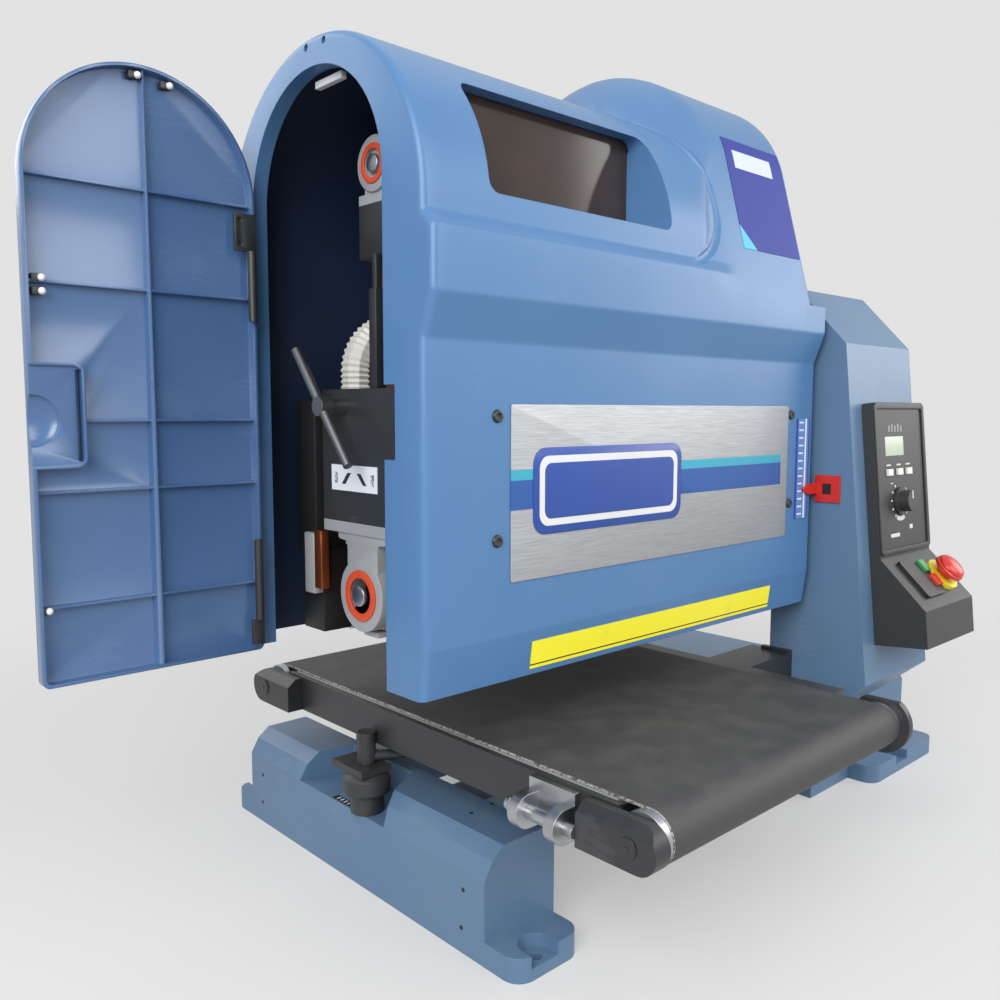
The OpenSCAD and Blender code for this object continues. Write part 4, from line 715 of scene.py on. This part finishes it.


# Brushed metal with a painted shade darkening it to the lower right, and a band of two blues
def metalPlatePaint():
    b = brushed
    paint = Paint("brushedPlate")
    brush = paint.noise(*b["brush"])
    blotch = paint.noise(*b["blotch"])
    height, across = paint.part(2), paint.part(0)
    top, right = at(0, 0, plate["z"][1]).z, at(plate["x"][1], 0, 0).x
    metal = paint.mix(brush.ramp(0.3, 0.7), tone(b["light"]), tone(b["dark"]))
    # Painted shade: the plate darker to the lower right
    fade = ((top - height) * b["down"] + (across - right) * b["across"] + b["start"]).ramp(0.0, 0.5)
    metal = paint.mix(fade * b["paintedShadeShare"], metal, tone(b["shade"]))
    low, middle, high = [z * unit for z in plate["band"]]
    onBand = height.within(low, high) * (across < at(plate["bandEnd"], 0, 0).x)
    blue = paint.mix(height > middle, tone(b["blue"]), tone(b["upperBlue"]))
    colour = paint.mix(onBand * b["bandShare"], metal, blue)
    rough = b["rough"] + (brush - 0.5) * 0.2 + (blotch - 0.5) * 0.12
    metallic = b["metal"] - onBand * b["bandMetal"]
    return paint.surface(colour, rough, paint.relief(brush, 0.00002, 0.6), {"Metallic": metallic})


# Yellow with one dark line along its foot
def stripPaint():
    s = strip
    paint = Paint("yellowStripPaint")
    cloud = paint.noise(30, 3)
    low, high = [z * unit for z in s["line"]]
    colour = paint.mix(paint.part(2).within(low, high), tone(s["ground"]), tone(s["mark"]))
    colour = paint.mix(cloud.ramp(0.55, 0.8) * s["dirtShare"], colour, tone(s["dirt"]))
    return paint.surface(colour, 0.42 + (cloud - 0.5) * 0.1, paint.relief(paint.noise(900, 2), 0.00002))


# Height scale: a blue strip with a light line and a tick every ten millimetres
def scalePaint():
    s = scale
    paint = Paint("scalePaint")
    across, steps = paint.part(0) - at(s["x"][0], 0, 0).x, paint.part(2) * s["ticks"]
    tick = (steps.calc("FRACT", steps) > s["tickStart"]) * across.within(*s["tick"])
    colour = paint.mix(tick + across.within(*s["line"]), tone(s["blue"]), tone(s["light"]))
    colour = paint.mix(1 - across.within(*s["ground"]), colour, tone(s["border"]))
    return paint.printed(colour, *s["print"])


def screw(x, y, z, radius, name):
    head = rod(at(x, y, z), at(x, y - radius * 0.45, z), radius * unit, name, 32, radius * 0.8 * unit)
    cut(head, rod(at(x, y - radius * 0.2, z), at(x, y - radius, z), radius * 0.45 * unit, sides=6))
    return soften(head, 0.5, 2)


def flatPlate(p, name):
    (x0, x1), (z0, z1) = p["x"], p["z"]
    return prism(roundBox(x0, x1, z0, z1, p["round"]), "y", frontY - p["thick"], frontY - gap, name)


def makePlates():
    wear(soften(flatPlate(plate, "frontPlate"), 0.4, 2), metalPlatePaint(), "head")
    heads = [screw(x, frontY + 0.3, z, plate["screwR"], "plateScrew") for x, z in plate["screws"]]
    wear(join(*heads, name="plateScrews"), "black enamel", "head")
    slope = casing["bandIn"] / (casing["bandTop"] - casing["bottom"])
    (z0, z1), thick = strip["z"], strip["thick"]
    y0, y1 = [frontY + casing["bandIn"] - (z - casing["bottom"]) * slope for z in strip["z"]]
    rows = [[at(x, y0 - gap, z0), at(x, y0 - thick, z0), at(x, y1 - thick, z1), at(x, y1 - gap, z1)]
            for x in strip["x"]]
    wear(loft(rows, "yellowStrip"), stripPaint(), "head")
    wear(flatPlate(scale, "heightScale"), scalePaint(), "head")
    (x0, x1), (z0, z1), face = badge["x"], badge["z"], frontY - plate["thick"]
    rings = []
    for w, thick in badge["steps"]:
        outline = roundBox(x0 + w, x1 - w, z0 + w, z1 - w, badge["round"] - w / 2)
        rings.append(prism(outline, "y", face - thick, face + 0.2, "badge"))
    wear(join(soften(rings[0], 0.4, 2), rings[2], name="badgeField"), badgeBlue, "head")
    rings[1].name = "badgeRing"
    wear(rings[1], markWhite, "head")


makePlates()
print("front plates made")


# Shapes on the leaning face of the control box: u across, v up the face, out from it

face = {"x": 386, "y": -235.256, "z": 184, "lean": 5.64, "depth": 15, "width": 152, "low": 158, "high": 362,
        "consoleV": 154, "slope": 40.1}


def onFace(u, out, v):
    lean = math.radians(face["lean"])
    return at(face["x"] + u, face["y"] - out * math.cos(lean) + v * math.sin(lean),
              face["z"] + out * math.sin(lean) + v * math.cos(lean))


# A point over the sloping console below the face
def onSlope(a, b, c):
    turn = math.radians(90 - face["slope"])
    y, z = b * math.cos(turn) - c * math.sin(turn), b * math.sin(turn) + c * math.cos(turn)
    return onFace(a, face["depth"] - y, face["consoleV"] + z)


def facePrism(outline, low, high, name="mark"):
    return loft([[onFace(u, out, v) for u, v in outline] for out in (low, high)], name)


def faceBox(u0, u1, v0, v1, low, high, name="mark"):
    return facePrism([(u0, v0), (u1, v0), (u1, v1), (u0, v1)], low, high, name)


def arcBand(middle, inner, outer, start, end, steps):
    u, v = middle
    turns = [math.radians(mixed(start, end, k / steps)) for k in range(steps + 1)]
    points = [(u + outer * math.cos(a), v + outer * math.sin(a)) for a in turns]
    return points + [(u + inner * math.cos(a), v + inner * math.sin(a)) for a in reversed(turns)]


# Dashes are boxes on the face, arcs have radii, angles and steps about the knob
controls = {"rim": 7, "rimOut": 2.6, "rimRound": (8, 4), "mark": 0.35, "icons": (41, 50, 59, 68, 77),
            "iconWide": 5.5, "iconLow": 322, "iconHigh": (331, 333), "knob": (66, 228), "knobFront": 18,
            "knobLine": (1.3, 3, 13.5, 0.5), "capMiddle": (114, -44), "capR": 19.5, "capOut": 21.5,
            "capRise": 8,
            "dashes": ((31.6, 43.6, 276.5, 278.6), (61.8, 73.8, 276.5, 278.6), (90.2, 102.2, 276.5, 278.6),
                       (34, 60, 180, 185), (92, 101, 188, 194), (41, 48, 252, 253.6)),
            "arcs": ((21, 27, -118, -62, 20), (21.5, 26.5, -48, 42, 20), (22, 26, 118, 124, 3),
                     (22, 26, 146, 152, 3), (22, 26, 174, 180, 3), (22, 26, 202, 208, 3),
                     (22, 26, 230, 236, 3))}


def makeControls():
    f, c = face, controls
    d, w, (outer, inner) = f["depth"], c["rim"], c["rimRound"]
    back, front = d - 0.1, d + c["mark"]
    edge = roundBox(0.2, f["width"] - 0.2, f["low"], f["high"] - 0.2, outer)
    rim = facePrism(edge, d - gap, d + c["rimOut"], "panelRim")
    cut(rim, facePrism(roundBox(w, f["width"] - w, f["low"] + w, f["high"] - w - 2, inner), d - 2, d + 6))
    wear(soften(rim, 1.1, 3), "black plastic", "frame")
    icons = [faceBox(u, u + c["iconWide"], c["iconLow"], c["iconHigh"][k % 2], back, front)
             for k, u in enumerate(c["icons"])]
    wear(join(*icons, name="panelIcons"), markGrey, "frame")
    marks = [faceBox(*dash, back, front) for dash in c["dashes"]]
    marks += [facePrism(arcBand(c["knob"], *arc), back, front) for arc in c["arcs"]]
    wear(join(*marks, name="panelMarks"), markWhite, "frame")
    (u, v), (half, start, end, thick) = c["knob"], c["knobLine"]
    top = d + c["knobFront"]
    line = faceBox(u - half, u + half, v + start, v + end, top - 0.1, top + thick, "knobLine")
    wear(line, markWhite, "dial")
    cap = ball((0, 0, 0), 1)
    cap.name = "stopCap"
    a, b = c["capMiddle"]
    for vert in cap.data.vertices:
        x, y, z = vert.co
        vert.co = onSlope(a + x * c["capR"], b + y * c["capR"], c["capOut"] + z * c["capRise"])
    wear(smooth(cap, 60), "signal red", "estop")


makeControls()
print("controls made")


# Dark panel on the front of the dome, following its curve, with a light corner

domePanel = {"x": (170, 297), "z": (726, 862), "stepsX": 16, "stepsZ": 24, "thick": 0.6, "sunk": 0.3,
             "corner": 0.028, "fieldX": (0.016, 0.1), "fieldZ": (0.1, 0.122), "dark": "#1a2b86",
             "light": "#57b4dc", "field": "#c3cbe6", "print": (700, 0.00002, 0.8, 0.6, 0.12)}


def panelPaint():
    d = domePanel
    paint = Paint("domePanelPaint")
    low = at(d["x"][0], 0, d["z"][0])
    x, z = paint.part(0) - low.x, paint.part(2) - low.z
    colour = paint.mix((x + z) < d["corner"], tone(d["dark"]), tone(d["light"]))
    colour = paint.mix(x.within(*d["fieldX"]) * z.within(*d["fieldZ"]), colour, tone(d["field"]))
    return paint.printed(colour, *d["print"])


def makeDomePanel():
    d = domePanel
    heights = [mixed(d["z"][0], d["z"][1], k / d["stepsZ"]) for k in range(d["stepsZ"] + 1)]
    rows = []
    for i in range(d["stepsX"] + 1):
        x = mixed(d["x"][0], d["x"][1], i / d["stepsX"])
        rows.append([at(x, frontAt(x, z, -d["thick"]), z) for z in heights]
                    + [at(x, frontAt(x, z, d["sunk"]), z) for z in reversed(heights)])
    wear(smooth(loft(rows, "domePanel"), 40), panelPaint(), "head")


makeDomePanel()
print("dome panel made")


# Door, as it stands open: a thin lip all round, ribs inside and a finger pocket at the free edge

door = {"mid": -433.25, "half": 111.75, "arch": 745, "arcSteps": 64, "low": 277, "outY": 130, "skinY": 127,
        "lipY": 115, "lip": 3, "ribs": (743, 649, 524, 458, 351), "ribY": 120, "ribT": 2.6,
        "spine": (-432, 5.5, 1.5), "pocketX": (-545, -497), "pocketZ": (480, 577), "pocketRound": (10, 7),
        "faceY": 118, "dent": (-544, 524, 24, 9), "ballR": 3.4,
        "catches": ((-437, 848), (-406, 845), (-530, 652), (-530, 640), (-536, 349))}


def doorOutline(w):
    d, steps, r = door, door["arcSteps"], door["half"] - w
    left, right, foot = d["mid"] - r, d["mid"] + r, d["low"] + w
    low = rounded([(right, d["arch"], 0), (right, foot, 6), (left, foot, 6), (left, d["arch"], 0)], 5, False)
    turns = [math.pi * k / steps for k in range(1, steps)]
    return low + [(d["mid"] - r * math.cos(a), d["arch"] + r * math.sin(a)) for a in turns]


def makeDoor():
    d, wall = door, door["lip"]
    panel = prism(doorOutline(0), "y", d["lipY"], d["outY"], "doorShell")
    cut(panel, prism(doorOutline(wall), "y", d["lipY"] - 2, d["skinY"]))
    inLip, half, root = wall / 2, d["ribT"] / 2, d["skinY"] + 0.5
    (x0, x1), (z0, z1), (outer, inner) = d["pocketX"], d["pocketZ"], d["pocketRound"]
    for z in d["ribs"]:
        left = x1 if z0 < z < z1 else d["mid"] - d["half"]
        rib = box(at(left + inLip, d["ribY"], z - half), at(d["mid"] + d["half"] - inLip, root, z + half))
        cut(panel, rib, way="UNION")
    (x, wide, thin), crest = d["spine"], d["ribY"] - 1
    rows = [[at(x - w, root, z), at(x - w / 2, crest, z), at(x + w / 2, crest, z), at(x + w, root, z)]
            for w, z in ((wide, d["low"] + inLip), (thin, d["arch"] + d["half"] - inLip))]
    cut(panel, loft(rows, "spine"), way="UNION")
    pocket = rounded([(x0, z0, 0), (x1, z0, outer), (x1, z1, outer), (x0, z1, 0)])
    cut(panel, prism(pocket, "y", d["lipY"], root), way="UNION")
    left, right, low, high = x0 - 1, x1 - wall, z0 + wall, z1 - wall
    hollow = rounded([(left, low, 0), (right, low, inner), (right, high, inner), (left, high, 0)])
    cut(panel, prism(hollow, "y", d["lipY"] - 2, d["faceY"]))
    slot = roundBox(x1 - 2.6 * wall, right, z0 + 2 * wall, z1 - 2 * wall, 1.5)
    cut(panel, prism(slot, "y", d["lipY"], d["skinY"] - 1))
    x, z, r, deep = d["dent"]
    dent = ball(at(x, d["faceY"] - 1, z), 1)
    dent.scale = (r * unit, deep * unit, r * unit)
    cut(panel, settle(dent))
    soften(panel, 0.7, 2, 40)
    wear(panel, "door plastic", "door", "door_panel")
    balls, blocks = [], []
    for x, z in d["catches"]:
        balls.append(settle(ball(at(x, d["ribY"] - 1.2, z), d["ballR"] * unit, 24)))
        blocks.append(box(at(x - 8.5, d["ribY"] - 1, z - 3.5), at(x - 2.5, root, z + 3.5)))
        blocks.append(box(at(x - 3, d["ribY"], z - 2.5), at(x + 3, root, z + 2.5)))
    wear(smooth(join(*balls, name="catchBalls"), 60), "white button", "door")
    wear(soften(join(*blocks, name="catchBlocks"), 0.5, 2), "black plastic", "door")


makeDoor()
print("door made")


# Covers of the two hinges, on the door's edge

hinges = ({"plate": (-346, -322.8, 696, 734), "barrel": (625, 696.5), "holes": ((-340, 727), (-340, 703))},
          {"plate": (-336, -322.8, 284, 311), "barrel": (311, 397), "holes": ()})
hingeCover = {"x": -327.8, "y": 110.4, "r": 4.4, "plateY": (110.5, 114.9), "holeR": 2.1}


def makeHinges():
    h, (front, back) = hingeCover, hingeCover["plateY"]
    pieces = []
    for one in hinges:
        (x0, x1, z0, z1), (low, high) = one["plate"], one["barrel"]
        leaf = box(at(x0, front, z0), at(x1, back, z1))
        for x, z in one["holes"]:
            cut(leaf, rod(at(x, front - 1, z), at(x, front + 2, z), h["holeR"] * unit, sides=20))
        barrel = rod(at(h["x"], h["y"], low), at(h["x"], h["y"], high), h["r"] * unit)
        strap = box(at(h["x"] - 3, h["y"], low + 2), at(h["x"] + 4.5, back, high - 2))
        pieces += [soften(leaf, 0.6, 2), smooth(cut(barrel, strap, way="UNION"), 40)]
    wear(join(*pieces, name="hingeCovers"), "black enamel", "door")


makeHinges()
print("hinge covers made")


# What shows inside the open end of the head. Seals and shaft ends are left, right, radius and bore.

lowBearing = {"middle": (17, 341.5), "x": (-262, -235.4), "r": 38, "bore": 19, "boltX": -249, "boltY": 36,
              "boltZ": (391, 397), "boltR": 6, "seal": (-264, -261.5, 27, 18.6), "shaft": (-266, -236, 11),
              "foot": ((27, 361.5, 0), (27, 396, 4), (44, 398, 3), (44, 404.8, 0))}
highBearing = {"middle": (17, 783), "x": (-241, -238.1), "r": 28, "bore": 14.5, "boltX": -228, "boltY": 22,
               "boltZ": (755.2, 762), "boltR": 5.5, "seal": (-242.6, -240.8, 20, 14.2),
               "shaft": (-243, -238.2, 9.5)}
housingLabel = {"low": (-262.8, -15, 450), "high": (-262.05, 68, 477), "middle": (26, 463), "half": 0.006,
                "slants": ((0.014, 0.9), (-0.014, -0.9)), "slantHalf": 0.0035, "dots": (0.033, -0.033),
                "dotHalf": 0.0028, "ground": "#d9dde4", "mark": "#26282c",
                "print": (900, 0.00002, 0.8, 0.45, 0.2)}
stay = {"x": -262, "y": -6, "footZ": 556.5, "guideZ": 655, "topZ": 689, "deep": 60}
rearBlock = {"low": (-250, 108, 285), "high": (-214, 150, 378), "upperLow": (-256, 112, 377),
             "upperHigh": (-214, 150, 545)}
innerBlocks = (("slideBar", (-262, 93, 337), (-252, 107.5, 402), 1, copperBar),
               ("slideBlock", (-262, 108, 330), (-250.2, 128, 398), 1.2, "cast grey"),
               ("lowBracket", (-250, 4, 296), (-235, 30, 302), 1, "cast grey"))


def disc(x0, x1, y, z, radius, name="disc", hole=None, sides=64):
    made = rod(at(x0, y, z), at(x1, y, z), radius * unit, name, sides)
    if hole:
        cut(made, rod(at(x0 - 1, y, z), at(x1 + 1, y, z), hole * unit, sides=sides))
    return made


def bolts(b):
    x, (y, _), (low, high) = b["boltX"], b["middle"], b["boltZ"]
    return [rod(at(x, y + s * b["boltY"], low), at(x, y + s * b["boltY"], high), b["boltR"] * unit, sides=6)
            for s in (-1, 1)]


# Two slanted bars with a speckled bar on either side
def labelPaint():
    label = housingLabel
    paint = Paint("housingLabelPaint")
    middle = at(0, *label["middle"])
    y, z = paint.part(1) - middle.y, paint.part(2) - middle.z

    def bar(offset, lean, half):
        return (y - offset + z * lean).within(-half, half) * z.within(-label["half"], label["half"])

    first, second = [bar(offset, lean, label["slantHalf"]) for offset, lean in label["slants"]]
    marks = first + second
    for offset in label["dots"]:
        marks = marks + bar(offset, 0.0, label["dotHalf"]) * (paint.noise(700, 1) > 0.5)
    return paint.printed(paint.mix(marks, tone(label["ground"]), tone(label["mark"])), *label["print"])


def dressBearing(b, body, name, sealRound, shaftRound, shaftName, shaftBody):
    (x0, x1, radius, bore), (y, z) = b["seal"], b["middle"]
    wear(soften(disc(x0, x1, y, z, radius, name, bore), sealRound, 2), sealOrange, body)
    x0, x1, radius = b["shaft"]
    wear(soften(disc(x0, x1, y, z, radius, shaftName), shaftRound, 2), "turned steel", shaftBody)


def makeInside():
    b = lowBearing
    (left, right), (y, z) = b["x"], b["middle"]
    shell = disc(left, right, y, z, b["r"], "lowBearing", b["bore"])
    foot = [(y - w, v, r) for w, v, r in b["foot"]] + [(y + w, v, r) for w, v, r in reversed(b["foot"])]
    cut(shell, prism(rounded(foot), "x", left + 2, right), way="UNION")
    cut(shell, disc(left + 0.5, right + 1.4, y, z, b["bore"] + 0.05))
    soften(shell, 1.2, 3)
    wear(join(shell, *bolts(b), name="lowBearing"), "cast grey", "head")
    dressBearing(b, "head", "lowSeal", 0.7, 1.5, "drumShaftEnd", "drum")
    b = highBearing
    ring = soften(disc(*b["x"], *b["middle"], b["r"], "highBearing", b["bore"]), 0.8, 2)
    wear(join(ring, *bolts(b), name="highBearing"), "cast grey", "yoke")
    dressBearing(b, "yoke", "highSeal", 0.6, 1.2, "idlerShaftEnd", "idler")
    wear(box(at(*housingLabel["low"]), at(*housingLabel["high"]), "housingLabel"), labelPaint(), "head")
    x, y, foot, top = stay["x"], stay["y"], stay["footZ"], stay["guideZ"]
    guide = box(at(x + 2, y - 6, foot), at(x + 14, y + 6, top))
    cut(guide, box(at(x + 4, y - 4, foot - 1), at(x + 12, y + 4, top + 1)))
    guide.name = "stayGuide"
    wear(soften(guide, 0.6, 2), "black enamel", "head")
    bar = box(at(x + 4.5, y - 3.5, top - stay["deep"]), at(x + 11.5, y + 3.5, stay["topZ"]), "stay")
    wear(soften(bar, 0.6, 2), "black enamel", "yoke")
    r = rearBlock
    rear = box(at(*r["low"]), at(*r["high"]), "rearBlock")
    cut(rear, box(at(*r["upperLow"]), at(*r["upperHigh"])), way="UNION")
    wear(soften(rear, 1.5, 2), deepBlack, "head")
    for name, low, high, edge, look in innerBlocks:
        wear(soften(box(at(*low), at(*high), name), edge, 2), look, "head")


makeInside()
print("inside made")


# Small things on the base and the bed

trim = {"sideHoles": ((-119, 66), (-116, 26), (280, 63), (282, 26)), "sideX": (-239.15, -238.6),
        "topHoles": ((-159, -73), (-190, -75)), "topZ": (114.6, 115.15), "holeR": 2.4,
        "tickX": (-235.5, -230), "tickY": (60, 112, 7), "tickWide": 2.4, "tickZ": (84.5, 84.9),
        "capPlugs": (-320, 277), "rollerZ": 179.98, "capFace": -235, "plugR": 9.5, "plugHole": 2.2,
        "archLabel": ((-296.5, -12, 846), (-290, 34, 853)),
        "tickGround": ((-237, 56, 84.05), (-228.5, 118, 84.6)),
        "pointerMark": ((350.1, -180, 424), (350.6, -168, 438))}


def trimBox(name):
    low, high = trim[name]
    return box(at(*low), at(*high), name)


def makeTrim():
    t = trim
    # The base's holes are not cut: black discs on its faces stand for them, painted shade of the holes
    holes = [disc(*t["sideX"], y, z, t["holeR"], sides=20) for y, z in t["sideHoles"]]
    low, high = t["topZ"]
    holes += [rod(at(x, y, low), at(x, y, high), t["holeR"] * unit, sides=20) for x, y in t["topHoles"]]
    wear(join(*holes, name="baseHoleShades"), deepBlack, "frame")
    wear(soften(trimBox("archLabel"), 0.6, 2), markWhite, "head")
    wear(trimBox("tickGround"), deepBlack, "frame")
    (x0, x1), (z0, z1) = t["tickX"], t["tickZ"]
    ticks = [box(at(x0, y, z0), at(x1, y + t["tickWide"], z1)) for y in range(*t["tickY"])]
    wear(join(*ticks, name="ticks"), markWhite, "frame")
    wear(trimBox("pointerMark"), deepBlack, "frame")
    plugs = []
    for y in t["capPlugs"]:
        plug = disc(t["capFace"] - 1.2, t["capFace"] - 0.1, y, t["rollerZ"], t["plugR"])
        cut(plug, disc(t["capFace"] - 3, t["capFace"] - 0.5, y, t["rollerZ"], t["plugHole"], sides=20))
        plugs.append(soften(plug, 0.4, 2))
    wear(join(*plugs, name="capPlugs"), "black enamel", "frame")


makeTrim()
print("trim made")


# Finish


clear()
print("scene ready")
